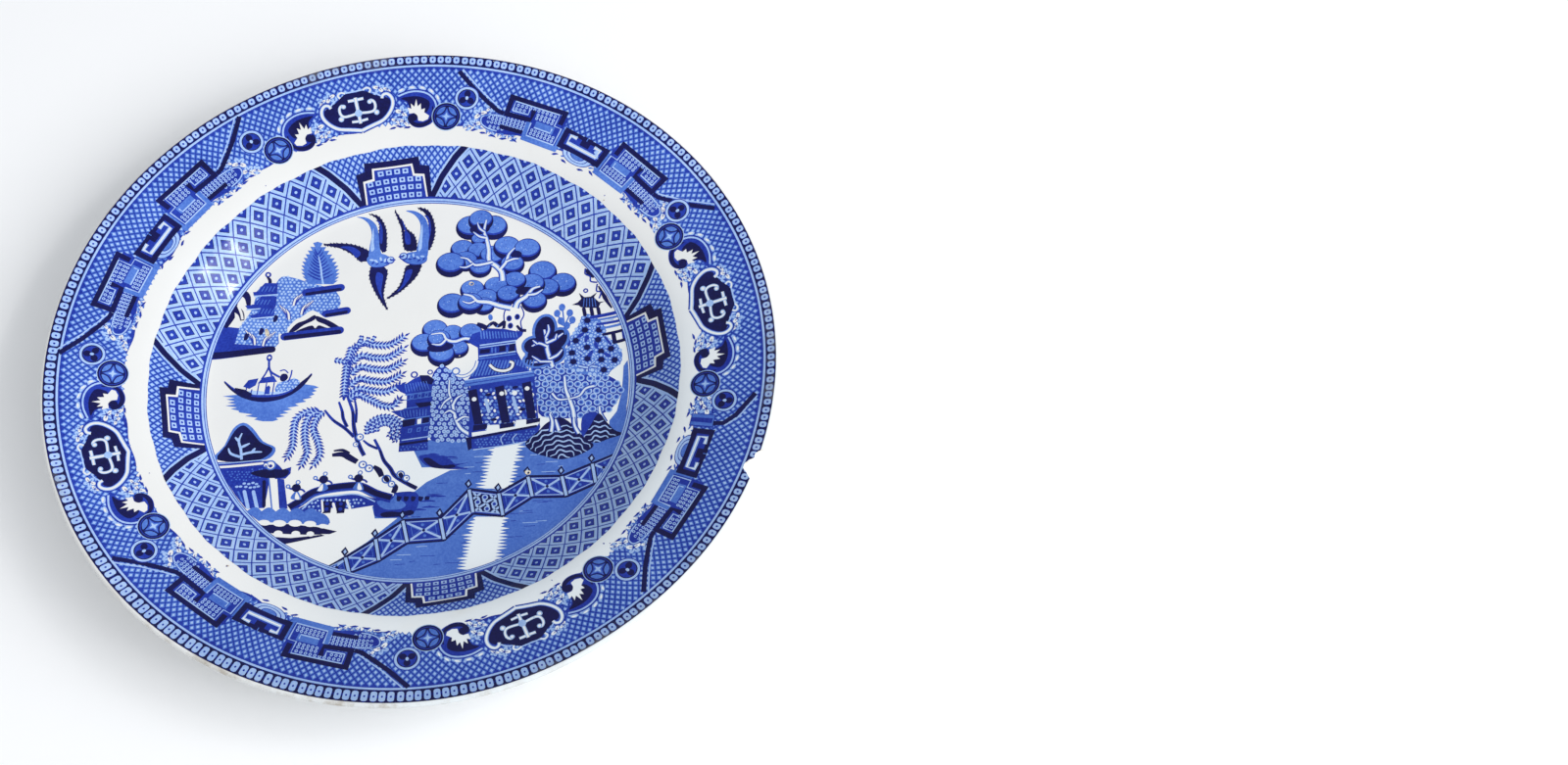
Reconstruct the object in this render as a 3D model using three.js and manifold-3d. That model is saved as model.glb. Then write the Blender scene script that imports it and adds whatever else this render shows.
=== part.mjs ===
// Chipped soup plate: one thrown-and-pressed earthenware body with a broad sloping rim, a
// steep wall down to a flat well, a low foot ring, and a two-scallop chip out of its lip.
// Millimetres, +Z up. The origin is on the plate's axis, at the level the foot ring stands on.

import * as THREE from 'three';
import { mergeVertices } from 'three/addons/utils/BufferGeometryUtils.js';
import Module from 'manifold-3d';

// ---- driving dimensions, all in millimetres ----
const LIP_RADIUS = 124;          // outermost edge of the plate
const RIM_HEIGHT = 29;           // highest line of the rim, just inside the lip
const SHOULDER_RADIUS = 91;      // where the sloping rim turns down into the wall
const SHOULDER_HEIGHT = 21;
const WELL_RADIUS = 73.5;        // where the wall meets the well
const WELL_HEIGHT = 10.1;
const FLOOR_RADIUS = 62;         // the well is flat inside this circle
const FLOOR_HEIGHT = 8.9;
const FOOT_OUTER_RADIUS = 67;    // foot ring
const FOOT_INNER_RADIUS = 61.5;
const FOOT_RECESS_HEIGHT = 4;    // underside of the well, inside the foot ring
const TURNS = 80;                // straight sides around the plate
const CHIP_STEPS = 20;           // facets around each scallop of the chip

// The section of the plate, from the axis out along the upper side and back underneath.
const UPPER_SIDE = [
  [0, FLOOR_HEIGHT - 0.2],
  [FLOOR_RADIUS / 2, FLOOR_HEIGHT - 0.15],
  [FLOOR_RADIUS, FLOOR_HEIGHT],
  [68.5, 9.15],
  [71.5, 9.5],
  [WELL_RADIUS, WELL_HEIGHT],
  [75.5, 11.15],
  [78, 12.65],
  [83, 16.0],
  [86, 18.0],
  [88.5, 19.6],
  [SHOULDER_RADIUS, SHOULDER_HEIGHT],
  [94, 22.1],
  [98, 23.2],
  [110, 25.9],
  [119, 28.0],
];
const LIP = [
  [121.8, 28.7],
  [122.9, RIM_HEIGHT],
  [123.7, 28.6],
  [LIP_RADIUS, 27.8],
  [123.7, 26.9],
  [122.8, 26.1],
];
const UNDERSIDE = [
  [118, 24.3],
  [108, 21.5],
  [98, 18.8],
  [93, 17.3],
  [88, 14.6],
  [80, 9.2],
  [74, 5.5],
  [70, 3.8],
  [68, 2.6],
  [FOOT_OUTER_RADIUS, 0.8],
  [FOOT_OUTER_RADIUS - 0.9, 0],
  [FOOT_INNER_RADIUS + 0.9, 0],
  [FOOT_INNER_RADIUS, 0.8],
  [60, 3.2],
  [58.5, FOOT_RECESS_HEIGHT],
  [30, FOOT_RECESS_HEIGHT + 0.1],
  [0, FOOT_RECESS_HEIGHT + 0.2],
];

// The chip is two shell-shaped bites out of the lip. Each is given by the angle round the
// plate of its middle, how far in from the axis its middle lies, and its half sizes.
const CHIP_BITES = [
  { angle: -17.0, radius: 126.0, inward: 5.0, along: 4.0, deep: 9.5, lean: 26 },
  { angle: -19.0, radius: 126.2, inward: 6.9, along: 5.6, deep: 10.5, lean: 32 },
];
const CHIP_HEIGHT = 27.2;        // level of the middle of both bites

function platePressing() {
  const section = [...UPPER_SIDE, ...LIP, ...UNDERSIDE];
  // A lathe profile runs from the bottom of the axis up its outer side to the top.
  const profile = section.reverse().map(([radius, height]) => new THREE.Vector2(radius, height));
  const pressing = new THREE.LatheGeometry(profile, TURNS);
  pressing.rotateX(Math.PI / 2);
  return pressing;
}

function chipBite({ angle, radius, inward, along, deep, lean }) {
  const bite = new THREE.SphereGeometry(1, CHIP_STEPS, CHIP_STEPS / 2);
  bite.scale(inward, along, deep);
  bite.rotateY(THREE.MathUtils.degToRad(lean));
  bite.translate(radius, 0, CHIP_HEIGHT);
  bite.rotateZ(THREE.MathUtils.degToRad(angle));
  return bite;
}

function toSolid(wasm, geometry) {
  const bare = geometry.clone();
  bare.deleteAttribute('normal');
  bare.deleteAttribute('uv');
  const merged = mergeVertices(bare, 1e-4);
  return new wasm.Manifold(new wasm.Mesh({
    numProp: 3,
    vertProperties: Float32Array.from(merged.attributes.position.array),
    triVerts: Uint32Array.from(merged.index.array),
  }));
}

function toGeometry(solid) {
  const { vertProperties, triVerts } = solid.getMesh();
  const geometry = new THREE.BufferGeometry();
  geometry.setAttribute('position', new THREE.BufferAttribute(vertProperties, 3));
  geometry.setIndex(new THREE.BufferAttribute(triVerts, 1));
  geometry.computeVertexNormals();
  return geometry;
}

const wasm = await Module();
wasm.setup();

let body = toSolid(wasm, platePressing());
for (const bite of CHIP_BITES) {
  body = body.subtract(toSolid(wasm, chipBite(bite)));
}

const glaze = new THREE.MeshStandardMaterial({ color: 0xf3f1ea, roughness: 0.12, metalness: 0 });
const plate = new THREE.Mesh(toGeometry(body), glaze);
plate.name = 'plate';

const chippedSoupPlate = new THREE.Group();
chippedSoupPlate.add(plate);

export default chippedSoupPlate;
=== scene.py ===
"""A chipped blue-and-white soup plate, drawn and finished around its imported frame."""

import math
import random

import bpy
import numpy as np
from mathutils import Matrix, Vector
from mathutils.geometry import delaunay_2d_cdt


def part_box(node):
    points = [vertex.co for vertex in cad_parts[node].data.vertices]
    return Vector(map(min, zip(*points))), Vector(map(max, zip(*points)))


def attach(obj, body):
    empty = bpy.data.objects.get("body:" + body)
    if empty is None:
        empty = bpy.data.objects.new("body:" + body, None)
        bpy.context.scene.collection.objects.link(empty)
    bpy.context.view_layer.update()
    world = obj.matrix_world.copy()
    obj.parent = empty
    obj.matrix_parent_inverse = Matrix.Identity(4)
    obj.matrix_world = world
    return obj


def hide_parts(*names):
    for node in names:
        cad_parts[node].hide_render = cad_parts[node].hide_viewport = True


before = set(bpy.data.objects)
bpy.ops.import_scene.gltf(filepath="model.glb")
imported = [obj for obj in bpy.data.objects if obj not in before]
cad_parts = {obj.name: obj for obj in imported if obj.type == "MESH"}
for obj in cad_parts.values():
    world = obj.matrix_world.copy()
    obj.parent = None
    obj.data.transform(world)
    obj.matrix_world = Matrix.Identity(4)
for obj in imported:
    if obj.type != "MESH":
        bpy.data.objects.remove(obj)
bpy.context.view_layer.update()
MM = 0.001

# ---------------------------------------------------------------------------------------
# The view. The plate is seen from well above and a little to its right, through a short
# telephoto lens on a full-frame camera, so it stands left of the middle of the picture.

camera_data = bpy.data.cameras.new("camera")
camera_data.lens = 60.0
camera_data.sensor_width = 36.0
camera_data.clip_start = 0.01
camera = bpy.data.objects.new("camera", camera_data)
camera.location = (0.1253, -0.4145, 0.8018)
camera.rotation_euler = (
    Matrix.Rotation(math.radians(90 - 62.29), 3, "X") @ Matrix.Rotation(math.radians(0.19), 3, "Z")
).to_euler()
bpy.context.scene.collection.objects.link(camera)
bpy.context.scene.camera = camera

# ---------------------------------------------------------------------------------------
# The body. White earthenware, pressed over a mould and turned as one piece: a flat well,
# a steep wall, a broad sloping rim with a rounded lip, and a low foot ring underneath.
# It moved a little in the kiln, so the lip is not a true circle.

LIP_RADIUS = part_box("plate")[1][0] / MM
UPPER_SIDE = [  # radius and height in millimetres, from the axis out to the lip
    (0, 8.7), (20, 8.71), (40, 8.77), (56, 8.86), (64, 8.98), (69, 9.22), (72, 9.62), (74.2, 10.4),
    (77, 12.05), (81, 14.65), (85, 17.3), (88, 19.2), (90.5, 20.55), (93.5, 21.75), (98, 23.05),
    (105, 24.72), (112, 26.35), (118, 27.75), (121.0, 28.5), (122.2, 28.85), (122.9, 28.95),
]
LIP = [(123.5, 28.78), (123.88, 28.35), (LIP_RADIUS, 27.8), (123.85, 27.15), (123.4, 26.5), (122.6, 25.9)]
UNDERSIDE = [
    (118.5, 24.45), (112, 22.5), (104, 20.4), (98, 18.8), (94.5, 17.65), (91.5, 16.3), (87, 13.6),
    (81, 9.85), (76, 6.8), (72.5, 4.95), (70.2, 3.9), (68.5, 2.9), (67.5, 1.9), (67.1, 1.0), (66.7, 0.35),
    (66.0, 0.02), (65.0, 0.0), (63.6, 0.0), (62.6, 0.05), (61.9, 0.45), (61.6, 1.2), (61.1, 2.3),
    (60.2, 3.3), (58.6, 3.85), (54, 4.0), (40, 4.05), (20, 4.15), (0, 4.2),
]
TURNS = 288
SLUMP_ANGLE = 308  # degrees round the plate, where the lip sank inward most
RIM_START, RIM_REACH = 88, 36  # from the wall's top out to the lip, in millimetres


def smooth(points, closed=False, steps=4):
    """A curve through the given points, with no corners."""
    count = len(points)
    spans = count if closed else count - 1
    curve = []
    for i in range(spans):
        if closed:
            before, start, end, after = (points[(i + k) % count] for k in (-1, 0, 1, 2))
        else:
            before, start, end, after = (points[min(max(i + k, 0), count - 1)] for k in (-1, 0, 1, 2))
        for step in range(steps):
            t = step / steps
            curve.append(tuple(
                b + 0.5 * t * (c - a + t * (2 * a - 5 * b + 4 * c - d + t * (3 * (b - c) + d - a)))
                for a, b, c, d in zip(before, start, end, after)
            ))
    if not closed:
        curve.append(tuple(points[-1]))
    return curve


upper = np.array(smooth(UPPER_SIDE + LIP[:1], steps=24)[:-24])
upper_slope = np.gradient(upper[:, 1], upper[:, 0])


def kiln_shift(angle):
    """How far the lip stands out from a true circle at an angle, in millimetres."""
    slumped = np.exp(-(((np.degrees(angle) - SLUMP_ANGLE) % 360 + 180) % 360 - 180) ** 2 / 380)
    return 0.3 * np.cos(2 * (angle - 1.2)) - 0.95 * slumped - 0.3


def rim_share(radius):
    """0 inside the wall's top, rising to 1 at the lip: how much of the kiln's warp a radius takes."""
    return np.clip((radius - RIM_START) / RIM_REACH, 0, 1) ** 1.5


def pressed(x, y):
    """Height and slope of the plate's upper side over a point of its plan, in millimetres."""
    radius = np.hypot(x, y)
    angle = np.arctan2(y, x)
    as_made = radius - kiln_shift(angle) * rim_share(radius)
    height = np.interp(as_made, upper[:, 0], upper[:, 1]) + kiln_lift(angle) * rim_share(radius)
    return height, np.interp(as_made, upper[:, 0], upper_slope)


def kiln_lift(angle):
    """How far the lip rises or sags at an angle, in millimetres."""
    return 0.18 * np.sin(2 * angle + 0.9) - 0.1


def facing(x, y):
    """The upper side's outward direction over points of the plan."""
    radius = np.maximum(np.hypot(x, y), 1e-6)
    slope = pressed(x, y)[1]
    outward = np.stack([-slope * x / radius, -slope * y / radius, np.ones_like(radius)], axis=-1)
    return outward / np.linalg.norm(outward, axis=-1, keepdims=True)


def section_rings():
    """The section as a closed run of (radius, height) from the axis on top to the axis below."""
    flat = list(upper[upper[:, 0] < 60][::40])
    curved = [tuple(p) for p in upper[(upper[:, 0] >= 60) & (upper[:, 0] < 123.6)]]
    kept = flat[:]
    for radius, height in curved:
        gap = 2.0 if radius > 98 and radius < 121 else 0.7
        if radius - kept[-1][0] >= gap:
            kept.append((radius, height))
    return kept + smooth([upper[-1]] + LIP + UNDERSIDE, steps=3)


def turned_body():
    """The whole plate as one closed mesh before it was chipped."""
    rings = section_rings()
    inner = rings[1:-1]
    angles = np.linspace(0, 2 * math.pi, TURNS, endpoint=False)
    points = [(0, 0, rings[0][1])]
    for radius, height in inner:
        shifted = radius + kiln_shift(angles) * rim_share(radius)
        lifted = height + kiln_lift(angles) * rim_share(radius)
        points += list(zip(shifted * np.cos(angles), shifted * np.sin(angles), lifted))
    points.append((0, 0, rings[-1][1]))
    last = len(points) - 1
    faces = []
    for k in range(TURNS):
        after = (k + 1) % TURNS
        faces.append((0, 1 + k, 1 + after))
        for ring in range(len(inner) - 1):
            base = 1 + ring * TURNS
            faces.append((base + k, base + TURNS + k, base + TURNS + after, base + after))
        base = 1 + (len(inner) - 1) * TURNS
        faces.append((base + after, base + k, last))
    mesh = bpy.data.meshes.new("plate_body")
    mesh.from_pydata([(x * MM, y * MM, z * MM) for x, y, z in points], [], faces)
    return mesh


# The chip: two shell-shaped bites knocked out of the lip. Each has a middle, given by its
# angle round the plate and its radius, and half sizes inward, along the lip and in depth.
CHIP_HEIGHT = 27.2
CHIP_BITES = [
    dict(angle=-17.0, radius=126.0, inward=5.0, along=4.0, deep=9.5, lean=26),
    dict(angle=-19.0, radius=126.2, inward=6.9, along=5.6, deep=10.5, lean=32),
]


def bite_frame(bite):
    """Turns a point of the bite's unit ball into plate millimetres."""
    turn = Matrix.Rotation(math.radians(bite["angle"]), 4, "Z")
    place = Matrix.Translation((bite["radius"], 0, CHIP_HEIGHT))
    lean = Matrix.Rotation(math.radians(bite["lean"]), 4, "Y")
    size = Matrix.Diagonal((bite["inward"], bite["along"], bite["deep"], 1))
    return turn @ place @ lean @ size


def ripple(direction):
    """The conchoidal ripples of a break, as a share of the bite's size."""
    x, y, z = direction
    size = 1 + 0.022 * math.sin(9 * x + 5 * z) + 0.03 * math.sin(6 * y - 4 * z + 1)
    return size + 0.012 * math.sin(19 * y + 7 * x)


def bite_mesh(bite):
    """One bite as a closed ball with rippled sides, to be cut from the body."""
    placing = bite_frame(bite)
    around, down = 64, 40
    points = [placing @ Vector((0, 0, 1))]
    for j in range(1, down):
        for k in range(around):
            tilt, turn = math.pi * j / down, 2 * math.pi * k / around
            way = Vector((math.sin(tilt) * math.cos(turn), math.sin(tilt) * math.sin(turn), math.cos(tilt)))
            points.append(placing @ (way * ripple(way)))
    points.append(placing @ Vector((0, 0, -1)))
    last = len(points) - 1
    faces = [(0, 1 + k, 1 + (k + 1) % around) for k in range(around)]
    for j in range(down - 2):
        row = 1 + j * around
        for k in range(around):
            after = (k + 1) % around
            faces.append((row + k, row + around + k, row + around + after, row + after))
    row = 1 + (down - 2) * around
    faces += [(last, row + (k + 1) % around, row + k) for k in range(around)]
    mesh = bpy.data.meshes.new("bite")
    mesh.from_pydata([tuple(p * MM) for p in points], [], faces)
    return mesh


def bite_outline(bite):
    """Where a bite's edge runs across the upper side, as a plan outline in millimetres."""
    placing = bite_frame(bite)
    undo = placing.inverted()
    middle = placing @ Vector((0, 0, 0))
    outline = []
    corners, widest, halvings = 72, 16, 24
    for k in range(corners):
        turn = 2 * math.pi * k / corners
        near, far = 0, widest
        for _ in range(halvings):
            reach = (near + far) / 2
            x, y = middle.x + reach * math.cos(turn), middle.y + reach * math.sin(turn)
            local = undo @ Vector((x, y, float(pressed(np.array(x), np.array(y))[0])))
            inside = local.length < ripple(local.normalized())
            near, far = (reach, far) if inside else (near, reach)
        outline.append((middle.x + near * math.cos(turn), middle.y + near * math.sin(turn)))
    return outline


# the sides of the plate that differ from the rest: angle and half width in degrees,
# anticlockwise from the right
# painted shade: the glaze is made darker and bluer on the front-right side, which faces away from the lamps
GLAZE_SHADED = (315, 95)
# painted shade: the ink is made darker on the front-right side, which faces away from the lamps
INK_SHADED = (303, 112)
LIP_DIRTY = ((128, 50), (262, 45))
LIP_FRETTED = ((106, 12), (204, 7), (358, 20), (308, 20))


def node(tree, kind, sockets=None, **settings):
    """Adds a shader node. A socket given another node's output is linked, any other is set."""
    made = tree.nodes.new("ShaderNode" + kind)
    for name, value in settings.items():
        setattr(made, name, value)
    for name, value in (sockets or {}).items():
        if isinstance(value, bpy.types.NodeSocket):
            tree.links.new(value, made.inputs[name])
        else:
            made.inputs[name].default_value = value
    return made


def clouds(tree, place, scale, detail=3.0, rough=0.55):
    """Soft noise over the plate, from 0 to 1; scale is in patches to the metre."""
    sockets = {"Vector": place, "Scale": scale, "Detail": detail, "Roughness": rough}
    return node(tree, "TexNoise", sockets).outputs["Fac"]


def between(tree, value, low, high, to_low=0.0, to_high=1.0):
    """The value's way from low to high, clamped, as a number from to_low to to_high."""
    sockets = {"Value": value, "From Min": low, "From Max": high, "To Min": to_low, "To Max": to_high}
    return node(tree, "MapRange", sockets, interpolation_type="SMOOTHSTEP").outputs["Result"]


def sums(tree, how, first, second):
    """Two values added, multiplied or otherwise put together."""
    return node(tree, "Math", {0: first, 1: second}, operation=how).outputs[0]


def blended(tree, share, first, second):
    """first where share is 0, second where it is 1, as a colour."""
    return node(tree, "Mix", {0: share, 6: first, 7: second}, data_type="RGBA").outputs[2]


def towards(tree, place, angle, half_width):
    """1 on the plate's side at an angle in degrees, fading to 0 half_width away from it."""
    heading = (math.cos(math.radians(angle)), math.sin(math.radians(angle)), 0)
    level = node(tree, "VectorMath", {0: place, 1: (1, 1, 0)}, operation="MULTIPLY").outputs[0]
    unit = node(tree, "VectorMath", {0: level}, operation="NORMALIZE").outputs[0]
    along = node(tree, "VectorMath", {0: unit, 1: heading}, operation="DOT_PRODUCT").outputs["Value"]
    return between(tree, along, math.cos(math.radians(half_width)), 1)


def any_side(tree, place, sides):
    """1 on any of several sides of the plate, each given by its angle and half width."""
    share = towards(tree, place, *sides[0])
    for side in sides[1:]:
        share = sums(tree, "MAXIMUM", share, towards(tree, place, *side))
    return share


def from_axis(tree, place):
    """The distance from the plate's axis, in metres."""
    level = node(tree, "VectorMath", {0: place, 1: (1, 1, 0)}, operation="MULTIPLY").outputs[0]
    return node(tree, "VectorMath", {0: level}, operation="LENGTH").outputs["Value"]


def new_finish(name):
    """A material with its shader, and the place on the plate that its patterns read."""
    material = bpy.data.materials.new(name)
    material.use_nodes = True
    tree = material.node_tree
    shader = tree.nodes["Principled BSDF"]
    place = node(tree, "TexCoord").outputs["Object"]
    return material, tree, shader, place


def under_glaze(tree, shader, place):
    """Sets the gloss of the glaze: lead-bright, slightly uneven, with fine pitting and use marks."""
    uneven = clouds(tree, place, 26, 2)
    pitted = clouds(tree, place, 900, 2)
    rubbed = clouds(tree, place, 75, 5, 0.7)
    wave = sums(tree, "MULTIPLY", uneven, 0.0016)
    relief = sums(tree, "MULTIPLY_ADD", pitted, 0.00001)
    tree.links.new(wave, relief.node.inputs[2])
    bump = node(tree, "Bump", {"Height": relief, "Strength": 0.55, "Distance": 1.0})
    tree.links.new(bump.outputs["Normal"], shader.inputs["Normal"])
    tree.links.new(between(tree, rubbed, 0.3, 0.8, 0.07, 0.2), shader.inputs["Roughness"])
    shader.inputs["Specular IOR Level"].default_value = 0.22


def clear_glaze():
    """Cream-white ware under the clear glaze: painted shade, darker and bluer, on its front-right side,
    tea-brown stains, a dirty lip, a bare foot.
    """
    material, tree, shader, place = new_finish("clear_glaze")
    white = blended(tree, clouds(tree, place, 18), (0.77, 0.765, 0.735, 1), (0.81, 0.815, 0.81, 1))
    # painted shade: the white darkens and turns bluer towards the front-right side
    shaded_side = towards(tree, place, *GLAZE_SHADED)
    white = blended(tree, sums(tree, "MULTIPLY", shaded_side, 0.6), white, (0.62, 0.69, 0.74, 1))
    radius = from_axis(tree, place)
    spots = between(tree, clouds(tree, place, 33, 4), 0.62, 0.8)
    tea = sums(tree, "MULTIPLY", spots, between(tree, clouds(tree, place, 7), 0.5, 0.7))
    white = blended(tree, sums(tree, "MULTIPLY", tea, 0.3), white, (0.62, 0.5, 0.34, 1))
    lip = between(tree, radius, 0.1214, 0.1236)
    grime = sums(tree, "MULTIPLY", lip, between(tree, clouds(tree, place, 90, 5, 0.7), 0.42, 0.68))
    dirty_side = any_side(tree, place, LIP_DIRTY)
    grime = sums(tree, "MULTIPLY", grime, sums(tree, "ADD", sums(tree, "MULTIPLY", dirty_side, 0.6), 0.12))
    white = blended(tree, grime, white, (0.33, 0.27, 0.19, 1))
    height = node(tree, "SeparateXYZ", {0: place}).outputs["Z"]
    foot = between(tree, height, 0.0009, 0.0002)
    dust = between(tree, clouds(tree, place, 420, 4, 0.7), 0.35, 0.7)
    bare = blended(tree, dust, (0.55, 0.49, 0.39, 1), (0.34, 0.27, 0.19, 1))
    tree.links.new(blended(tree, foot, white, bare), shader.inputs["Base Color"])
    under_glaze(tree, shader, place)
    return material


def broken_body():
    """The fired clay where the lip broke: unglazed, chalky white, a little soiled."""
    material, tree, shader, place = new_finish("broken_body")
    soil = between(tree, clouds(tree, place, 500, 4, 0.65), 0.35, 0.75)
    clay = blended(tree, soil, (0.93, 0.92, 0.87, 1), (0.7, 0.64, 0.53, 1))
    tree.links.new(clay, shader.inputs["Base Color"])
    grain = clouds(tree, place, 2200, 3)
    bump = node(tree, "Bump", {"Height": grain, "Strength": 0.5, "Distance": 0.0003})
    tree.links.new(bump.outputs["Normal"], shader.inputs["Normal"])
    tree.links.new(between(tree, grain, 0.3, 0.7, 0.62, 0.85), shader.inputs["Roughness"])
    return material


CLEAR_GLAZE, BROKEN_BODY = clear_glaze(), broken_body()


def with_chip(mesh):
    """The body with both bites cut out of it, their sides faced with the broken clay."""
    whole = bpy.data.objects.new("whole", mesh)
    bpy.context.scene.collection.objects.link(whole)
    for material in (CLEAR_GLAZE, BROKEN_BODY):
        mesh.materials.append(material)
    cutters = []
    for bite in CHIP_BITES:
        cutter = bpy.data.objects.new("bite", bite_mesh(bite))
        bpy.context.scene.collection.objects.link(cutter)
        for material in (CLEAR_GLAZE, BROKEN_BODY):
            cutter.data.materials.append(material)
        cutter.data.polygons.foreach_set("material_index", [1] * len(cutter.data.polygons))
        cut = whole.modifiers.new("bite", "BOOLEAN")
        cut.operation, cut.solver, cut.object = "DIFFERENCE", "EXACT", cutter
        cutters.append(cutter)
    evaluated = whole.evaluated_get(bpy.context.evaluated_depsgraph_get())
    chipped = bpy.data.meshes.new_from_object(evaluated)
    for spare in cutters + [whole]:
        bpy.data.objects.remove(spare)
    return chipped


def polish(mesh):
    """Shades the body as its section runs, with a sharp edge only round the break."""
    mesh.polygons.foreach_set("use_smooth", [True] * len(mesh.polygons))
    broken = [p.material_index == 1 for p in mesh.polygons]
    sides = {}
    for polygon in mesh.polygons:
        for key in polygon.edge_keys:
            sides.setdefault(key, set()).add(broken[polygon.index])
    for edge in mesh.edges:
        edge.use_edge_sharp = len(sides[edge.key]) == 2
    places = np.array([v.co for v in mesh.vertices]) / MM
    heights = pressed(places[:, 0], places[:, 1])[0]
    radius = np.hypot(places[:, 0], places[:, 1])
    on_top = (np.abs(heights - places[:, 2]) < 0.02) & (radius < 121)
    outward = facing(places[:, 0], places[:, 1])
    normals = [Vector(c.vector) for c in mesh.corner_normals]
    for polygon in mesh.polygons:
        for loop in polygon.loop_indices:
            vertex = mesh.loops[loop].vertex_index
            if on_top[vertex] and not broken[polygon.index]:
                normals[loop] = Vector(outward[vertex])
    mesh.normals_split_custom_set(normals)


body_mesh = with_chip(turned_body())
polish(body_mesh)
plate_body = bpy.data.objects.new("plate_body", body_mesh)
bpy.context.scene.collection.objects.link(plate_body)
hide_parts("plate")
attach(plate_body, "root")

# ---------------------------------------------------------------------------------------
# The print. It was engraved on copper, pulled on tissue in cobalt ink and rubbed down on
# the biscuit ware before glazing, so it lies in the surface as flat fields of four depths of
# blue. Each tissue is drawn here in plan, in millimetres from the plate's axis, and what is
# drawn later covers what lies under it. "bare" is paper-white, where no ink was left.

INKS = {
    "dark": ((0.002, 0.002, 0.045), (0.005, 0.007, 0.11)),
    "mid": ((0.006, 0.02, 0.28), (0.022, 0.062, 0.48)),
    "light": ((0.045, 0.125, 0.52), (0.125, 0.265, 0.74)), "pale": ((0.29, 0.46, 0.83), (0.5, 0.66, 0.93)),
}
INK_LIFT = 0.05  # the ink stands this far off the body, clear of its facets
STAIN_LIFT = INK_LIFT * 1.7


def printed_ink(name, strong, weak):
    """Cobalt under the glaze, uneven as it left the tissue, darkened by painted shade on its front-right
    side, and fretted grey at the worn lip.
    """
    material, tree, shader, place = new_finish(f"{name}_blue_ink")
    blotches = between(tree, clouds(tree, place, 55, 4, 0.65), 0.32, 0.72)
    stipple = between(tree, clouds(tree, place, 1300, 2, 0.6), 0.35, 0.7)
    depth = sums(tree, "ADD", sums(tree, "MULTIPLY", blotches, 0.55), sums(tree, "MULTIPLY", stipple, 0.45))
    tone = blended(tree, depth, (*strong, 1), (*weak, 1))
    # painted shade: the ink darkens towards the front-right side
    ink_shade = sums(tree, "MULTIPLY", towards(tree, place, *INK_SHADED), 0.42)
    tone = blended(tree, ink_shade, tone, (*(channel * 0.42 for channel in strong), 1))
    edge = between(tree, from_axis(tree, place), 0.1175, 0.1222)
    fretted = between(tree, clouds(tree, place, 160, 5, 0.7), 0.42, 0.7)
    side = any_side(tree, place, LIP_FRETTED)
    worn = sums(tree, "MULTIPLY", sums(tree, "MULTIPLY", edge, fretted), sums(tree, "MULTIPLY", side, 0.6))
    tone = blended(tree, worn, tone, (0.2, 0.2, 0.19, 1))
    tree.links.new(tone, shader.inputs["Base Color"])
    under_glaze(tree, shader, place)
    return material


INK_FINISHES = {name: printed_ink(name, *tones) for name, tones in INKS.items()}


class Tissue:
    """One tissue of the print, as outlines in plan with an ink for each, bottom one first."""

    def __init__(self, name):
        self.name = name
        self.points, self.outlines, self.inks = [], [], []

    def fill(self, ink, outline, place=None):
        """Adds one outline; place sets it down on the plate."""
        corners = [place(u, v) for u, v in outline] if place else list(outline)
        area = sum(a[0] * b[1] - b[0] * a[1] for a, b in zip(corners, corners[1:] + corners[:1]))
        if abs(area) < 1e-4:
            return
        if area < 0:
            corners.reverse()
        first = len(self.points)
        self.points += [Vector(corner) for corner in corners]
        self.outlines.append(list(range(first, len(self.points))))
        self.inks.append(ink)

    def line(self, ink, path, width, place=None, closed=False, taper=None):
        """A line of ink along a path; taper gives its share of the width at the two ends."""
        count = len(path)
        left, right = [], []
        for i, (x, y) in enumerate(path):
            back = path[(i - 1) % count] if closed or i else path[0]
            ahead = path[(i + 1) % count] if closed or i < count - 1 else path[-1]
            dx, dy = ahead[0] - back[0], ahead[1] - back[1]
            length = math.hypot(dx, dy) or 1
            along = i / (count - 1)
            half = width / 2
            if taper and along < 0.5:
                half *= taper[0] + (1 - taper[0]) * min(1, along * 2)
            elif taper:
                half *= taper[1] + (1 - taper[1]) * min(1, (1 - along) * 2)
            left.append((x - dy / length * half, y + dx / length * half))
            right.append((x + dy / length * half, y - dx / length * half))
        for i in range(count if closed else count - 1):
            j = (i + 1) % count
            self.fill(ink, [left[i], right[i], right[j]], place)
            self.fill(ink, [left[i], right[j], left[j]], place)

    def dot(self, ink, centre, radius, sides, place=None, squash=1):
        """A round dot, or a squashed one."""
        self.fill(ink, oval(centre, radius, radius * squash, 0, sides), place)


def oval(centre, across, high, turn, sides):
    """An ellipse about a centre, turned by degrees."""
    c, s = math.cos(math.radians(turn)), math.sin(math.radians(turn))
    ring = [(across * math.cos(2 * math.pi * k / sides), high * math.sin(2 * math.pi * k / sides))
            for k in range(sides)]
    return [(centre[0] + x * c - y * s, centre[1] + x * s + y * c) for x, y in ring]


def box_of(u0, u1, v0, v1):
    """The corners of an upright rectangle."""
    return [(u0, v0), (u1, v0), (u1, v1), (u0, v1)]


def polar(angle, radius):
    """A point of the plan, at degrees anticlockwise from the right."""
    return radius * math.cos(math.radians(angle)), radius * math.sin(math.radians(angle))


def round_plate(angle, radius):
    """Bends a motif drawn flat round the plate: u runs anticlockwise, v outward, both in mm."""
    def place(u, v):
        return polar(angle + math.degrees(u / radius), radius + v)
    return place


def lying(x, y, turn=0, size=1):
    """Sets a motif down at a point, turned by degrees."""
    c, s = size * math.cos(math.radians(turn)), size * math.sin(math.radians(turn))

    def place(u, v):
        return x + u * c - v * s, y + u * s + v * c
    return place


def ring(tissue, ink, inner, outer, sides):
    """A band round the plate; inner and outer are radii, or functions of the angle."""
    inner_at = inner if callable(inner) else lambda _: inner
    outer_at = outer if callable(outer) else lambda _: outer
    for k in range(sides):
        a, b = 360 * k / sides, 360 * (k + 1) / sides
        tissue.fill(
            ink,
            [polar(a, inner_at(a)), polar(a, outer_at(a)), polar(b, outer_at(b)), polar(b, inner_at(b))],
        )


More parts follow.
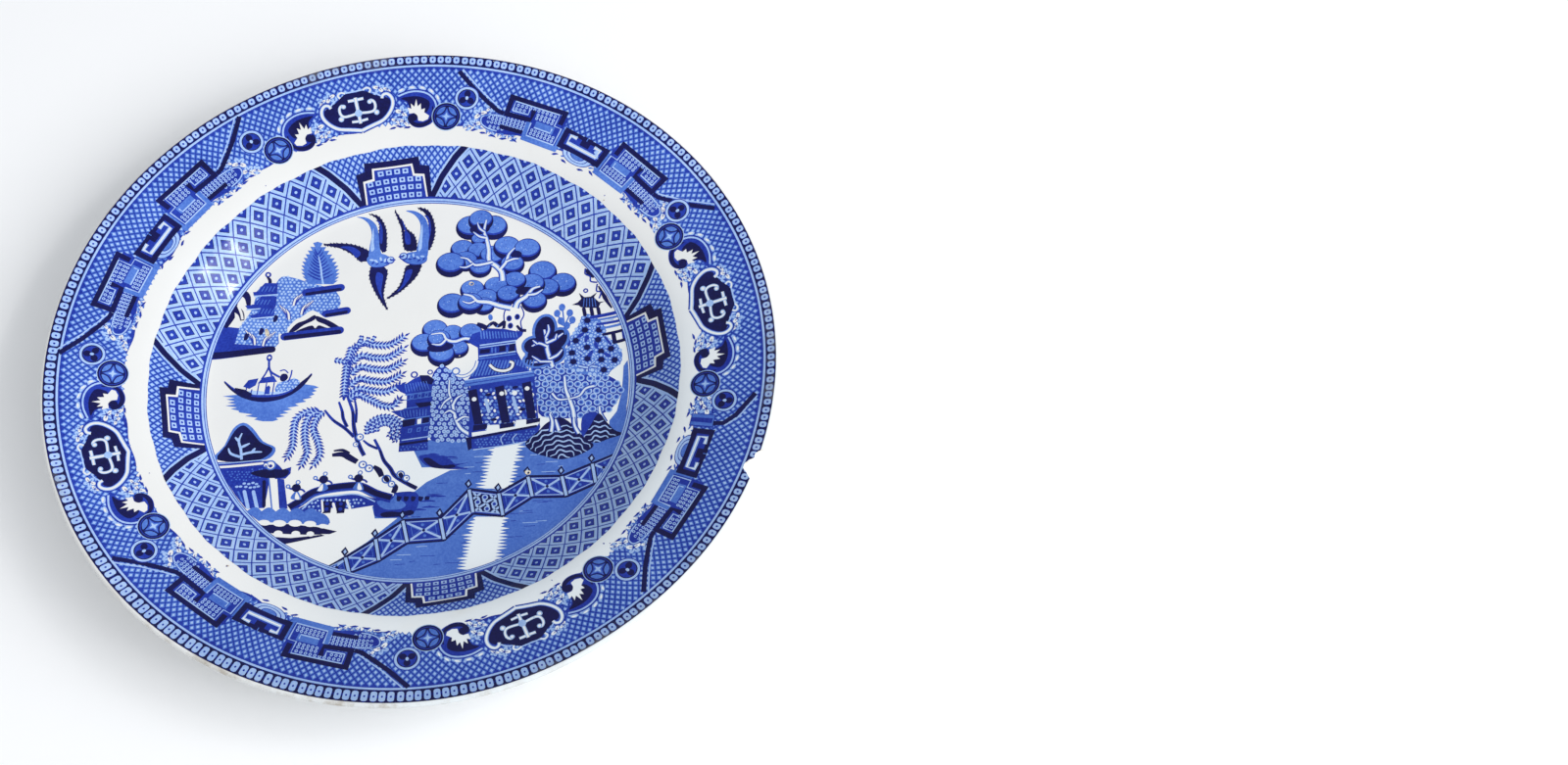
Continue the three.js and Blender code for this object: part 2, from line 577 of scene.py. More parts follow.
def rub_down(tissue, breaks):
    """Lays a tissue on the body: cuts its overlaps away, drapes it and makes a piece of each ink.

    breaks are the radii at which the sheet is creased so that it follows the plate's curve.
    """
    creased = Tissue(tissue.name)
    for inner, outer in zip(breaks, breaks[1:]):
        ring(creased, None, inner, outer, 120)
    first = len(creased.points)
    creased.points += tissue.points
    creased.outlines += [[first + k for k in outline] for outline in tissue.outlines]
    creased.inks += tissue.inks
    for bite in CHIP_BITES:
        creased.fill(None, bite_outline(bite))
    points, _, faces, _, _, covers = delaunay_2d_cdt(creased.points, [], creased.outlines, 1, 1e-5)
    plan = np.array([tuple(p) for p in points])
    reach = []
    for outline in creased.outlines:
        across, along = zip(*(creased.points[k] for k in outline))
        reach.append((min(across), max(across), min(along), max(along)))
    tops = []
    for (x, y), cover in zip(plan[np.array(faces)].mean(axis=1), covers):
        over = [k for k in cover if reach[k][0] <= x <= reach[k][1] and reach[k][2] <= y <= reach[k][3]]
        tops.append(creased.inks[max(over)] if over else None)
    for ink in INK_FINISHES:
        chosen = np.array([face for face, top in zip(faces, tops) if top == ink], dtype=int)
        if len(chosen):
            lay_ink(tissue.name, ink, plan, chosen)


def lay_ink(sheet, ink, plan, faces):
    """Makes one ink of a tissue as a skin on the body, with the body's own shading."""
    used, corners = np.unique(faces, return_inverse=True)
    x, y = plan[used, 0], plan[used, 1]
    height = pressed(x, y)[0]
    outward = facing(x, y)
    lift = INK_LIFT if ink in INKS else STAIN_LIFT
    places = (np.stack([x, y, height], axis=-1) + outward * lift) * MM
    name = f"{sheet}_{ink}_print"
    mesh = bpy.data.meshes.new(name)
    mesh.vertices.add(len(used))
    mesh.vertices.foreach_set("co", places.ravel())
    mesh.loops.add(faces.size)
    mesh.loops.foreach_set("vertex_index", corners.ravel())
    mesh.polygons.add(len(faces))
    mesh.polygons.foreach_set("loop_start", np.arange(0, faces.size, 3))
    mesh.update(calc_edges=True)
    mesh.polygons.foreach_set("use_smooth", [True] * len(faces))
    chart = mesh.uv_layers.new(name="OFBake")
    low, span = np.array([x.min(), y.min()]), max(np.ptp(x), np.ptp(y))
    flat = (np.stack([x, y], axis=-1)[corners.ravel()] - low) / span
    chart.data.foreach_set("uv", flat.ravel())
    mesh.normals_split_custom_set_from_vertices(outward)
    mesh.materials.append(INK_FINISHES[ink])
    piece = bpy.data.objects.new(name, mesh)
    bpy.context.scene.collection.objects.link(piece)
    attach(piece, "root")


# ---------------------------------------------------------------------------------------
# The rim's border. A narrow band of key squares at the lip, a light line, then a broad
# lattice ground that carries four dark cartouches with leaf scrolls, four groups of
# frets, and beads, with small flowers along its inner edge. The tissue met its own end
# short of the chip, so the last group lacks its right-hand fret.

rim = Tissue("rim")
CARTOUCHES = [13.7, 104.45, 199.2, 294.0]
FRET_GROUPS = [58.2, 151.8, 246.0, 341.5]
CUT_GROUP = FRET_GROUPS[-1]
SQUARES = 265


def drift(angle):
    """How far the key squares and the lattice wandered outward as the tissue was laid, in mm."""
    return 1.0 * math.cos(math.radians(angle - 72)) - 0.05


def print_edge(angle):
    """The radius at which the print ends, following the warped lip."""
    return 123.05 + kiln_shift(math.radians(angle)) * 0.95 + 0.3 * math.cos(math.radians(angle - 80))


def light_line(angle):
    """The radius of the light line between the key squares and the lattice."""
    return 118.55 + drift(angle) - 0.6 * math.exp(-(((angle - 308) / 18) ** 2))


def on_border(angle, radius):
    """Sets a motif on the border, which lies a millimetre off centre."""
    return round_plate(angle, radius + 0.1 + 1.2 * math.cos(math.radians(angle - 138)))


ring(rim, "dark", light_line, print_edge, 360)
for k in range(SQUARES):
    angle = 360 * (k + 0.5 + 0.05 * math.sin(k * 1.7)) / SQUARES
    top, bottom = print_edge(angle) - 0.55, light_line(angle) + 1.0
    square = round_plate(angle, (top + bottom) / 2)
    half = (top - bottom) / 2
    rim.fill("mid", oval((0, 0), 1.34, half + 0.35, 0, 8), square)
    rim.fill("pale", [
        (-1.05, -half + 0.45), (-0.6, -half), (0.6, -half), (1.05, -half + 0.45), (1.05, half - 0.45),
        (0.6, half), (-0.6, half), (-1.05, half - 0.45),
    ], square)
    rim.dot("mid", (0, 0), 0.36, 8, square, 1.15)
ring(rim, "mid", lambda a: light_line(a) - 0.75, lambda a: light_line(a) + 0.4, 360)
ring(rim, "pale", lambda a: light_line(a) - 0.42, lambda a: light_line(a) + 0.3, 360)


def border_floor(angle):
    """The irregular inner edge of the lattice ground, where flowers and frets end it."""
    floor = 97.6 + drift(angle) + 0.7 * math.sin(math.radians(angle * 16))
    return floor + 0.5 * math.sin(math.radians(angle * 37))


ring(rim, "mid", border_floor, lambda a: light_line(a) - 0.7, 360)
COLUMNS, ROW = 282, 1.42
for row in range(15):
    for column in range(COLUMNS):
        angle = 360 * (column + 0.5 * (row % 2)) / COLUMNS
        radius = 98.2 + drift(angle) + row * ROW
        if radius > light_line(angle) - 1.0:
            continue
        cell = round_plate(angle, radius)
        half = radius * math.pi / COLUMNS
        rim.fill("light", [(-half * 0.8, 0), (0, -ROW * 0.8), (half * 0.8, 0), (0, ROW * 0.8)], cell)
        rim.fill("pale", [(-half * 0.42, 0), (0, -ROW * 0.46), (half * 0.42, 0), (0, ROW * 0.46)], cell)


def mirrored(place, side):
    """The same setting with the motif turned left to right where side is -1."""
    return lambda u, v: place(u * side, v)


def pointed(u, v, place, turn, ink="mid", size=1.0):
    """A small pointed leaf."""
    leaf = ((-1.5, 0), (-0.5, 0.42), (0.6, 0.4), (1.4, 0), (0.5, -0.4))
    rim.fill(ink, [lying(u, v, turn, size)(*corner) for corner in leaf], place)


def flower(u, v, place, size):
    """A small pale blossom with a blue eye, on a light ground."""
    rim.dot("light", (u, v), 2.1 * size, 9, place)
    for k in range(5):
        turn = 90 + 72 * k
        centre = lying(u, v)(*polar(turn, size * 1.2))
        rim.fill("bare" if k % 2 else "pale", oval(centre, size * 0.95, size * 0.68, turn, 9), place)
        rim.line("mid", [(u, v), centre], 0.2 * size, place)
    rim.dot("mid", (u, v), 0.4 * size, 8, place)


def soft_line(path, width, place, taper=None):
    """A white line with pale edges."""
    rim.line("pale", path, width * 1.1, place, taper=taper)
    rim.line("bare", path, width * 0.62, place, taper=taper)


def cartouche(angle):
    """A dark shield-shaped panel in a pale scrolled edge, with a pale cross of four curls."""
    place = on_border(angle, 105.0)
    half = [
        (0, 6.2), (3.0, 6.3), (5.0, 5.2), (6.6, 4.1), (8.6, 3.2), (9.4, 2.2), (10.3, 2.8), (11.5, 1.8),
        (11.8, 0.2), (10.4, -2.6), (8.0, -4.9), (4.6, -6.0), (2.0, -6.6),
    ]
    shield = half + [(0, -7.3)] + [(-u, v) for u, v in reversed(half[1:])]
    edging = smooth([
        (0, -8.1), (2.2, -7.5), (4.8, -6.8), (8.5, -5.6), (11.2, -3.1), (12.6, -0.1), (12.3, 2.4),
        (10.9, 3.9), (9.5, 3.6), (9.0, 2.4),
    ])
    for side in (1, -1):
        turned = mirrored(place, side)
        flower(8.4, 6.4, turned, 0.95)
        flower(11.2, 5.6, turned, 0.7)
        rim.line("mid", edging, 2.2, turned)
    rim.fill("dark", smooth(shield, True, 3), place)
    for side in (1, -1):
        turned = mirrored(place, side)
        soft_line(edging, 1.15, turned, taper=(1, 0.85))
        rim.line("pale", [(0, 6.6), (3.2, 6.7)], 0.5, turned)
        soft_line(smooth([(3.0, 6.6), (4.4, 7.2), (5.5, 6.4), (5.0, 5.2)]), 0.75, turned)
        rim.line("pale", [(5.9, 5.2), (7.6, 4.3), (8.8, 3.3)], 0.5, turned)
        soft_line([(0, 3.4), (2.7, 3.5)], 1.0, turned)
        soft_line(
            smooth([(0, -1.5), (3.2, -1.9), (5.4, -1.7), (6.3, -0.4), (6.2, 1.4), (5.2, 2.4), (4.3, 1.9)]),
            0.9, turned,
        )
        for spot, radius in (((4.6, 1.9), 0.85), ((6.5, -2.4), 1.0)):
            rim.dot("pale", spot, radius, 10, turned)
            rim.dot("bare", spot, radius * 0.62, 8, turned)
        soft_line([(0, -4.6), (3.0, -4.3)], 0.9, turned)
    soft_line([(0, 4.3), (0, 0), (0, -5.5)], 1.15, place)
    rim.dot("pale", (0, -1.6), 1.35, 12, place)


def leaf_scroll(angle, side):
    """A curling acanthus leaf beside a cartouche: dark shell, pale beads, white flame."""
    place = mirrored(on_border(angle, 102.05), side)
    arch = smooth(
        [(6.8, 0.6), (6.2, 3.0), (4.6, 5.2), (2.4, 6.5), (-0.4, 7.0), (-3.2, 6.7), (-6.2, 5.6)], steps=3,
    )
    for k, (u, v) in enumerate(arch[1:-1:3]):
        turn = math.degrees(math.atan2(v, u)) + 90 - 12
        rim.fill("pale", oval((u * 1.2, v * 1.2), 1.35, 0.72, turn, 9), place)
        rim.fill("bare", oval((u * 1.22, v * 1.22), 0.9, 0.34, turn, 7), place)
    shell = smooth([
        (6.5, -2.5), (6.6, 0.8), (5.2, 4.0), (2.4, 5.8), (-0.8, 6.4), (-4.4, 5.9), (-7.2, 4.6), (-4.0, 3.2),
        (-2.9, 1.2), (-3.0, -2.6), (-1.6, -5.4), (1.6, -6.2), (4.9, -5.2),
    ], True, 3)
    rim.line("mid", arch, 1.7, place)
    rim.fill("mid", shell, place)
    rim.line("pale", arch, 0.6, place)
    rim.fill("dark", smooth([
        (4.4, 2.6), (2.4, 4.4), (-0.8, 5.2), (-5.4, 4.7), (-3.4, 3.3), (-2.2, 0.6), (0.8, -0.4), (3.4, -0.8),
    ], True, 3), place)
    rim.fill("bare", [
        (4.3, -2.1), (2.5, -0.9), (2.8, 0.6), (1.4, 0.2), (1.3, 2.5), (0.2, 1.4), (-0.3, 4.2), (-1.0, 1.3),
        (-2.2, 2.6), (-2.1, 0.6), (-3.4, 1.2), (-2.9, -1.2), (-1.1, -1.0), (0.1, -2.2), (0.3, -3.9),
        (2.1, -4.2), (3.9, -3.4),
    ], place)
    flower(-5.4, -0.4, place, 1.15)
    flower(-4.8, -3.9, place, 1.0)
    flower(-7.8, -3.2, place, 0.8)
    curl = smooth([
        (-2.3, -1.9), (-2.9, -3.2), (-1.6, -4.9), (0.8, -5.5), (3.4, -4.9), (5.0, -3.3), (5.6, -0.9),
        (5.4, 1.2),
    ])
    rim.line("mid", [(u * 1.06, v * 1.14) for u, v in curl[3:-6]], 0.45, place)
    rim.line("dark", curl, 1.5, place, taper=(0.9, 0.25))
    rim.dot("dark", (-1.35, -2.6), 1.45, 12, place)
    for u, v, turn in (
        (-7.2, 1.9, -12), (-6.4, -2.2, 12), (-3.8, -6.2, 8), (-6.8, -5.6, -14), (-9.2, -6.0, 12),
    ):
        pointed(u, v, place, turn)


def coin(angle):
    """A round medallion: a dark ring, four petals and a pale hollow-sided square."""
    place = on_border(angle, 99.85)
    rim.dot("pale", (0, 0), 5.2, 28, place)
    rim.dot("dark", (0, 0), 4.95, 28, place)
    rim.dot("mid", (0, 0), 4.35, 24, place)
    for k in range(4):
        turn = 45 + 90 * k
        petal = lying(*polar(turn, 2.85), turn + 90)
        for ink, size in (("dark", 1.25), ("light", 0.9)):
            leaf = smooth([(-2.3 * size, 0), (0, 0.95 * size), (2.3 * size, 0), (0, -0.95 * size)], True, 3)
            rim.fill(ink, [petal(u, v) for u, v in leaf], place)
    for ink, size in (("light", 1.0), ("pale", 0.55)):
        rim.fill(ink, smooth([
            (2.9 * size, 0), (0.75 * size, 0.75 * size), (0, 2.9 * size), (-0.75 * size, 0.75 * size),
            (-2.9 * size, 0), (-0.75 * size, -0.75 * size), (0, -2.9 * size), (0.75 * size, -0.75 * size),
        ], True, 2), place)


def bead(angle):
    """A pale ring round a mid-blue eye with three dark drops."""
    place = on_border(angle, 107.1)
    for ink, radius in (("mid", 4.5), ("pale", 4.15), ("dark", 3.35), ("mid", 3.0)):
        rim.dot(ink, (0, 0), radius, 26, place)
    for k in range(3):
        turn = 90 + 120 * k
        rim.fill("dark", oval(polar(turn, 1.6), 1.35, 1.15, turn, 10), place)
    rim.fill("pale", oval((0, 0.1), 0.55, 0.7, 0, 8), place)


def cells(panel, place):
    """A panel filled with rows of little eyed cells; panel gives its sides."""
    u0, u1, v0, v1 = panel
    pitch, size = 1.4, 0.52
    across, up = max(1, round((u1 - u0) / pitch)), max(1, round((v1 - v0) / pitch))
    for i in range(across):
        for j in range(up):
            centre = (u0 + (u1 - u0) * (i + 0.5) / across, v0 + (v1 - v0) * (j + 0.5) / up)
            rim.dot("pale", centre, size, 8, place, 1.2)
            rim.dot("mid", centre, size * 0.45, 6, place, 1.2)


def fret(angle, side):
    """One hooked fret: a heavy dark key line round a cell-filled panel."""
    place = mirrored(on_border(angle, 104.0), side * 1.03)
    rim.fill("mid", smooth([
        (20, -5.8), (20, -0.4), (34, -0.6), (38.2, -1.6), (39.2, -3.8), (36.4, -6.6), (30, -7.4), (24, -6.4),
    ], True, 3), place)
    rim.line(
        "pale", smooth([(31, -0.9), (35.5, -1.2), (38.4, -2.4), (38.2, -4.8), (35.6, -6.2), (32.0, -6.6)]),
        0.45, place,
    )
    cells((21.8, 36.6, -4.4, -0.8), place)
    cells((29.5, 35.6, -6.4, -4.6), place)
    rim.fill("light", box_of(8.2, 22.6, -7.4, 1.2), place)
    rim.fill("mid", box_of(9.6, 21.2, -5.6, 5.6), place)
    rim.fill("mid", box_of(12.4, 29.6, 1.4, 6.0), place)
    rim.line("pale", [
        (28.6, 1.9), (28.4, 5.5), (12.9, 5.5), (12.9, 1.0), (10.2, 1.0), (10.2, -5.4), (21.0, -5.4),
        (21.0, -0.6),
    ], 0.5, place)
    rim.line("pale", [(28.6, 1.9), (23.0, 1.9), (23.0, 3.9)], 0.5, place)
    cells((13.4, 28.0, 3.4, 5.2), place)
    cells((24.0, 28.2, 2.1, 3.6), place)
    cells((13.4, 20.4, 0.9, 3.4), place)
    cells((10.8, 20.4, -5.0, -2.4), place)
    rim.fill("light", box_of(12.4, 19.4, -2.2, 0.6), place)
    rim.line("pale", [(19.4, -1.9), (13.2, -1.9), (13.2, -0.2)], 0.5, place)
    rim.line("dark", [(21.6, 4.0), (21.6, 0.3), (31.0, 0.3)], 1.75, place)
    rim.line("dark", [(30.3, -0.5), (29.9, 7.5)], 1.75, place)
    rim.line("dark", [(30.7, 6.8), (10.6, 6.8)], 1.75, place)
    rim.line("dark", [(11.3, 7.5), (11.3, 2.2)], 1.75, place)
    rim.line("dark", [(22.8, -4.9), (31.4, -4.7)], 1.5, place)


def slanting_bar(angle, side):
    """The dark bar from a fret's corner out to the light line, with its pale edge."""
    place = mirrored(on_border(angle, 104.0), side * 1.03)
    run = [(31.2, 0.2), (33.4, 0.6), (37.0, 2.8), (42.3, 6.8), (48.4, 13.3)]
    rim.line("pale", [(u - 1.1, v + 0.8) for u, v in run[1:]], 0.45, place)
    rim.line("dark", run, 1.55, place)


def bracket(angle):
    """The dark bracket between two frets, with a white key inside and a half rosette below."""
    place = on_border(angle, 104.0)
    rim.fill("dark", box_of(-9.2, 9.2, -5.2, 2.4), place)
    rim.fill("mid", box_of(-7.2, 7.2, -3.4, 0.8), place)
    for ink, width in (("pale", 1.35), ("bare", 0.5)):
        rim.line(
            ink, [(-3.6, 0.3), (-6.1, 0.3), (-6.1, -2.5), (6.1, -2.5), (6.1, 0.3), (3.6, 0.3)], width, place,
        )
    rim.fill("dark", box_of(-1.9, 1.7, -1.4, 2.2), place)
    rim.line("light", [(0.1, 2.1), (0.1, 0.9)], 0.3, place)
    for ink, radius in (
        ("mid", 6.4), ("pale", 6.0), ("mid", 4.6), ("pale", 4.2), ("mid", 3.0), ("light", 2.6),
    ):
        rim.fill(ink, [(radius * math.cos(math.radians(t)), -5.2 + radius * 0.52 * math.sin(math.radians(t)))
                       for t in range(180, 361, 15)], place)


def inner_sprigs(angle, spots):
    """Small pointed leaves hanging from the border's inner edge."""
    place = on_border(angle, 104.0)
    for u, v, turn in spots:
        pointed(u, v, place, turn)
        pointed(u + 1.1, v + 1.5, place, -turn, "light", 0.8)


FRET_SPRIGS = [(-8.2, -8.0, 20), (-3.8, -9.0, -12), (3.8, -9.0, 12), (8.2, -8.0, -20)]
SIDE_SPRIGS = [
    (25.4, -8.4, 18), (29.6, -8.8, -12), (34.0, -8.6, 14), (38.0, -8.2, 0), (41.6, -7.6, -18),
    (36.8, -3.2, 10),
]
for angle in FRET_GROUPS:
    inner_sprigs(angle, FRET_SPRIGS)
    for side in (-1, 1):
        if angle == CUT_GROUP and side == 1:
            continue
        garland = mirrored(on_border(angle, 104.0), side)
        for u, v, size in (
            (26.4, -7.2, 0.9), (30.6, -7.4, 0.9), (35.0, -7.0, 1.0), (41.6, -5.4, 1.15), (44.4, -6.6, 0.8),
            (40.6, -1.4, 1.2), (37.4, 1.2, 0.8),
        ):
            flower(u, v, garland, size)
        fret(angle, side)
        slanting_bar(angle, side)
        inner_sprigs(angle, [(u * side, v, turn * side) for u, v, turn in SIDE_SPRIGS])
    bracket(angle)
joined = on_border(CUT_GROUP, 104.0)
for u, v, size in ((16.2, -6.2, 1.1), (17.0, -2.4, 1.2), (20.4, -4.8, 1.1), (20.6, -1.2, 0.9)):
    flower(u, v, joined, size)
rim.fill("mid", box_of(9.9, 14.9, -6.9, 1.4), joined)
rim.line("light", [(11.0, -6.6), (11.0, 0.8), (14.0, 0.8), (14.0, -6.6)], 1.3, joined)
rim.line("dark", [(11.6, 1.0), (12.0, 4.4), (15.2, 8.0), (22.8, 13.4)], 1.6, joined)
rim.line("pale", [(11.6, 5.6), (14.4, 8.9), (22.0, 14.2)], 0.45, joined)
inner_sprigs(
    CUT_GROUP, [(14.6, -8.2, 14), (18.2, -7.8, -16), (17.6, -4.2, 8), (21.2, -6.4, 14), (16.2, -0.2, 0)],
)
for angle in CARTOUCHES:
    for side in (-1, 1):
        leaf_scroll(angle + side * 11.45, side)
        coin(angle + side * 17.3)
        bead(angle + side * 20.9)
    cartouche(angle)
rub_down(rim, (94, 98, 103, 108, 113, 118, 120.5, 122, 124.4))

# ---------------------------------------------------------------------------------------
# The border down the well's wall: a lattice of nested diamonds, broken at four places by
# fan-shaped panels between dark bars, each with a stepped key-square panel. Below it a
# pale line between two blue ones frames the picture. It was laid a touch off centre.

wall = Tissue("wall")
FANS = [10.9, 99.4, 190, 280.6]
DIAMOND_COLUMNS = 69
DIAMOND_HALF_HEIGHT = 4.0


def wall_drift(angle):
    """How far the wall's tissue wandered outward as it was laid, in millimetres."""
    return 0.6 * math.cos(math.radians(angle - 62))


def wall_top(angle):
    """The radius at which the tissue ends, a little ragged, at the top of the wall."""
    ragged = 0.16 * math.sin(math.radians(angle * 23)) + 0.12 * math.sin(math.radians(angle * 61 + 40))
    return 89.95 + wall_drift(angle) * 0.9 + ragged


def wall_foot(angle):
    """The radius of the border's lower edge."""
    return 74.1 + wall_drift(angle)


def on_wall(angle, radius=82):
    """Sets a motif on the wall's border, which drifted with its tissue."""
    return round_plate(angle, radius + wall_drift(angle))


ring(wall, "mid", wall_foot, wall_top, 240)
for row, radius in enumerate((73.9, 77.8, 81.7, 85.7, 89.7)):
    for column in range(DIAMOND_COLUMNS):
        angle = 360 * (column + 0.5 * (row % 2)) / DIAMOND_COLUMNS + 0.35
        cell = on_wall(angle, radius)
        half = radius * math.pi / DIAMOND_COLUMNS
        for ink, size in (("pale", 0.92), ("dark", 0.57), ("mid", 0.5)):
            wall.fill(ink, [
                (-half * size, 0), (0, -DIAMOND_HALF_HEIGHT * size), (half * size, 0),
                (0, DIAMOND_HALF_HEIGHT * size),
            ], cell)
        wall.dot("pale", (0, 0), 0.55, 8, cell, 0.8)


def fan_panel(angle):
    """A fan of fine lattice between two dark bars, with a stepped panel of key squares."""
    place = on_wall(angle)
    wall.fill(
        "mid",
        [(-13, -8), (-4, -8.6), (4, -8.6), (13, -8), (25.2, 8.6), (12, 9), (0, 9), (-12, 9), (-25.2, 8.6)],
        place,
    )
    for row in range(13):
        for column in range(-11, 12):
            u, v = (column + 0.5 * (row % 2)) * 2.1, -7.6 + row * 1.3
            if abs(u) > 12.0 + (v + 8) * 0.72:
                continue
            wall.fill("light", [(u - 0.86, v), (u, v - 1.06), (u + 0.86, v), (u, v + 1.06)], place)
            wall.fill("pale", [(u - 0.56, v), (u, v - 0.7), (u + 0.56, v), (u, v + 0.7)], place)
    for side in (-1, 1):
        turned = mirrored(place, side)
        bar = [(25, 8.9), (21.6, 4.6), (17.4, -1.2), (13.2, -8.2)]
        wall.line("pale", [(u + 1.6, v) for u, v in bar], 0.7, turned)
        wall.line("pale", [(u - 1.6, v) for u, v in bar], 0.6, turned)
        wall.line("dark", bar, 2, turned)
    wall.fill("dark", [
        (-13.6, -7.4), (-12.8, 1.8), (-9.6, 2.1), (-9.2, 4.6), (9.2, 4.6), (9.6, 2.1), (12.8, 1.8),
        (13.6, -7.4),
    ], place)
    for ink, inset in (("bare", 0), ("mid", 0.65)):
        wall.fill(ink, [
            (-12.2 + inset, -8.2), (-11.0 + inset, -0.6 - inset), (-7.5 + inset, -0.4 - inset),
            (-7.0 + inset, 2.6 - inset), (7.0 - inset, 2.6 - inset), (7.5 - inset, -0.4 - inset),
            (11.0 - inset, -0.6 - inset), (12.2 - inset, -8.2),
        ], place)
    for v, count in ((0.6, 4), (-1.9, 7), (-4.2, 7), (-6.6, 7)):
        for k in range(count):
            u = (k - (count - 1) / 2) * 2.9
            wall.fill("pale", box_of(u - 1, u + 1, v - 0.72, v + 0.72), place)
            wall.dot("mid", (u, v), 0.5, 6, place, 0.8)


for angle in FANS:
    fan_panel(angle)
ring(wall, "bare", wall_top, lambda a: 94.5, 240)
ring(wall, "bare", lambda a: 68.5, wall_foot, 240)
ring(wall, "mid", lambda a: wall_foot(a) - 0.25, lambda a: wall_foot(a) + 0.45, 240)
ring(wall, "mid", lambda a: wall_foot(a) - 1.85, lambda a: wall_foot(a) - 0.2, 240)
ring(wall, "pale", lambda a: wall_foot(a) - 0.9, lambda a: wall_foot(a) - 0.2, 240)
ring(wall, "pale", lambda a: wall_foot(a) - 1.6, lambda a: wall_foot(a) - 1.15, 240)
rub_down(wall, (68.6, 70.4, 72.4, 73.8, 75, 76.5, 78, 80, 82, 84, 86, 88, 89.5, 91, 95))

# ---------------------------------------------------------------------------------------
# The picture in the well, a landscape of the kind that many potteries printed: water, an
# island, a boat, willows, a bridge, garden buildings under great trees, two birds and a
# zigzag fence. Everything is drawn as plain fields of ink, far things first.

picture = Tissue("picture")
block, line, dot = picture.fill, picture.line, picture.dot  # a field, a line and a dot of one ink
drawn = random.Random(11)
PICTURE_EDGE = 72.6


def patch(ink, points, steps=3):
    """A field of one ink with a soft outline."""
    block(ink, smooth(points, True, steps))


def sweep(ink, points, width, taper=None):
    """A brush line through a few points."""
    line(ink, smooth(points), width, taper=taper)


def bough(points, width, edge, core, taper=None, edging=0.9):
    """A branch of one ink between edges of another."""
    sweep(edge, points, width + edging, taper)
    sweep(core, points, width, taper)


def inside(outline, x, y):
    """Whether a point lies within an outline."""
    crossed = False
    for (x0, y0), (x1, y1) in zip(outline, outline[1:] + outline[:1]):
        if (y0 > y) != (y1 > y) and x < (x1 - x0) * (y - y0) / (y1 - y0) + x0:
            crossed = not crossed
    return crossed


def scatter(outline, pitch, jitter=0.18):
    """Staggered points that fill an outline."""
    left, right = min(p[0] for p in outline), max(p[0] for p in outline)
    low, high = min(p[1] for p in outline), max(p[1] for p in outline)
    row, y = 0, low + pitch * 0.4
    while y < high:
        x = left + pitch * (0.3 + 0.5 * (row % 2))
        while x < right:
            spot = (x + drawn.uniform(-jitter, jitter) * pitch, y + drawn.uniform(-jitter, jitter) * pitch)
            if inside(outline, *spot):
                yield spot
            x += pitch
        row, y = row + 1, y + pitch * 0.87


def dappled(ground, outline, pitch, leaf="pale", size=0.34, eye=None, eye_size=0.4):
    """Foliage: a ground of ink with staggered round leaves, some with an eye."""
    soft = smooth(outline, True, 3)
    block(ground, soft)
    for spot in scatter(soft, pitch):
        dot(leaf, spot, pitch * size, 8)
        if eye:
            dot(eye, spot, pitch * size * eye_size, 6)


def part_way(start, end, share):
    """The point that lies a share of the way from start to end."""
    return start[0] + (end[0] - start[0]) * share, start[1] + (end[1] - start[1]) * share


def bar(ink, start, end, width):
    """A round-ended bar."""
    line(ink, [start, end], width)
    for tip in (start, end):
        dot(ink, tip, width / 2, 12)


def wavy(ink, outline_low, outline_high, teeth, depth):
    """A band of ink between two lines whose upper edge is scalloped."""
    top = []
    for k in range(teeth * 6 + 1):
        share = k / (teeth * 6)
        x, y = part_way(*outline_high, share)
        top.append((x, y + depth * abs(math.sin(math.pi * share * teeth))))
    block(ink, list(outline_low) + top[::-1])


# --- the lawn and water in front, a blue wash left in streaks
shore = [
    (-24.5, -67), (-13, -58.5), (-3.5, -49.6), (-11, -49.8), (-12.2, -45.5), (-9.5, -42.5), (-5.5, -41.4),
    (-4, -40.4), (1.5, -39.8), (5.4, -36.2), (13, -31.8), (19.5, -31.2), (14, -30.4), (3.4, -30.8),
    (1.6, -27.2), (0.2, -24.4), (3, -20.5), (17.5, -20), (36, -20.5), (60, -16), (69.8, -17), (71.8, -8),
    (72.5, 3), (70.3, 3), (69.6, -5), (68.4, -10.5), (66.6, -13), (62, -13),
]
rim_arc = [polar(-14 - 1.9 * k, PICTURE_EDGE + wall_drift(-14 - 1.9 * k)) for k in range(50)]
block("light", shore[:23] + [(71.6, -12)] + rim_arc)
block("light", [polar(a, 71.9 + wall_drift(a)) for a in range(-16, 10, 3)]
             + [(70.2, 8), (69.9, -2), (68.4, -9.5), (66, -13), (66, -20)])
for k in range(150):
    x, y = drawn.uniform(-14, 66), drawn.uniform(-70, -24)
    if math.hypot(x, y) < 68 and inside(shore[:23] + rim_arc, x, y):
        line(drawn.choice(("mid", "mid", "pale")), [(x, y), (x + drawn.uniform(1.5, 5), y + 0.2)], 0.22)
for x_mid, x_lean, half, y0, y1 in ((30.2, 0.16, 4.2, -38.6, -21.6), (26, 0.12, 4.9, -68.6, -49)):
    streak = []
    steps = round((y1 - y0) / 0.62)
    for side in (1, -1):
        run = range(steps + 1) if side == 1 else range(steps, -1, -1)
        for k in run:
            y = y0 + (y1 - y0) * k / steps
            reach = half + (drawn.uniform(0.5, 3.4) if k % 2 else -0.5)
            streak.append((x_mid + (y - (y0 + y1) / 2) * x_lean + side * reach, y))
    block("bare", streak)

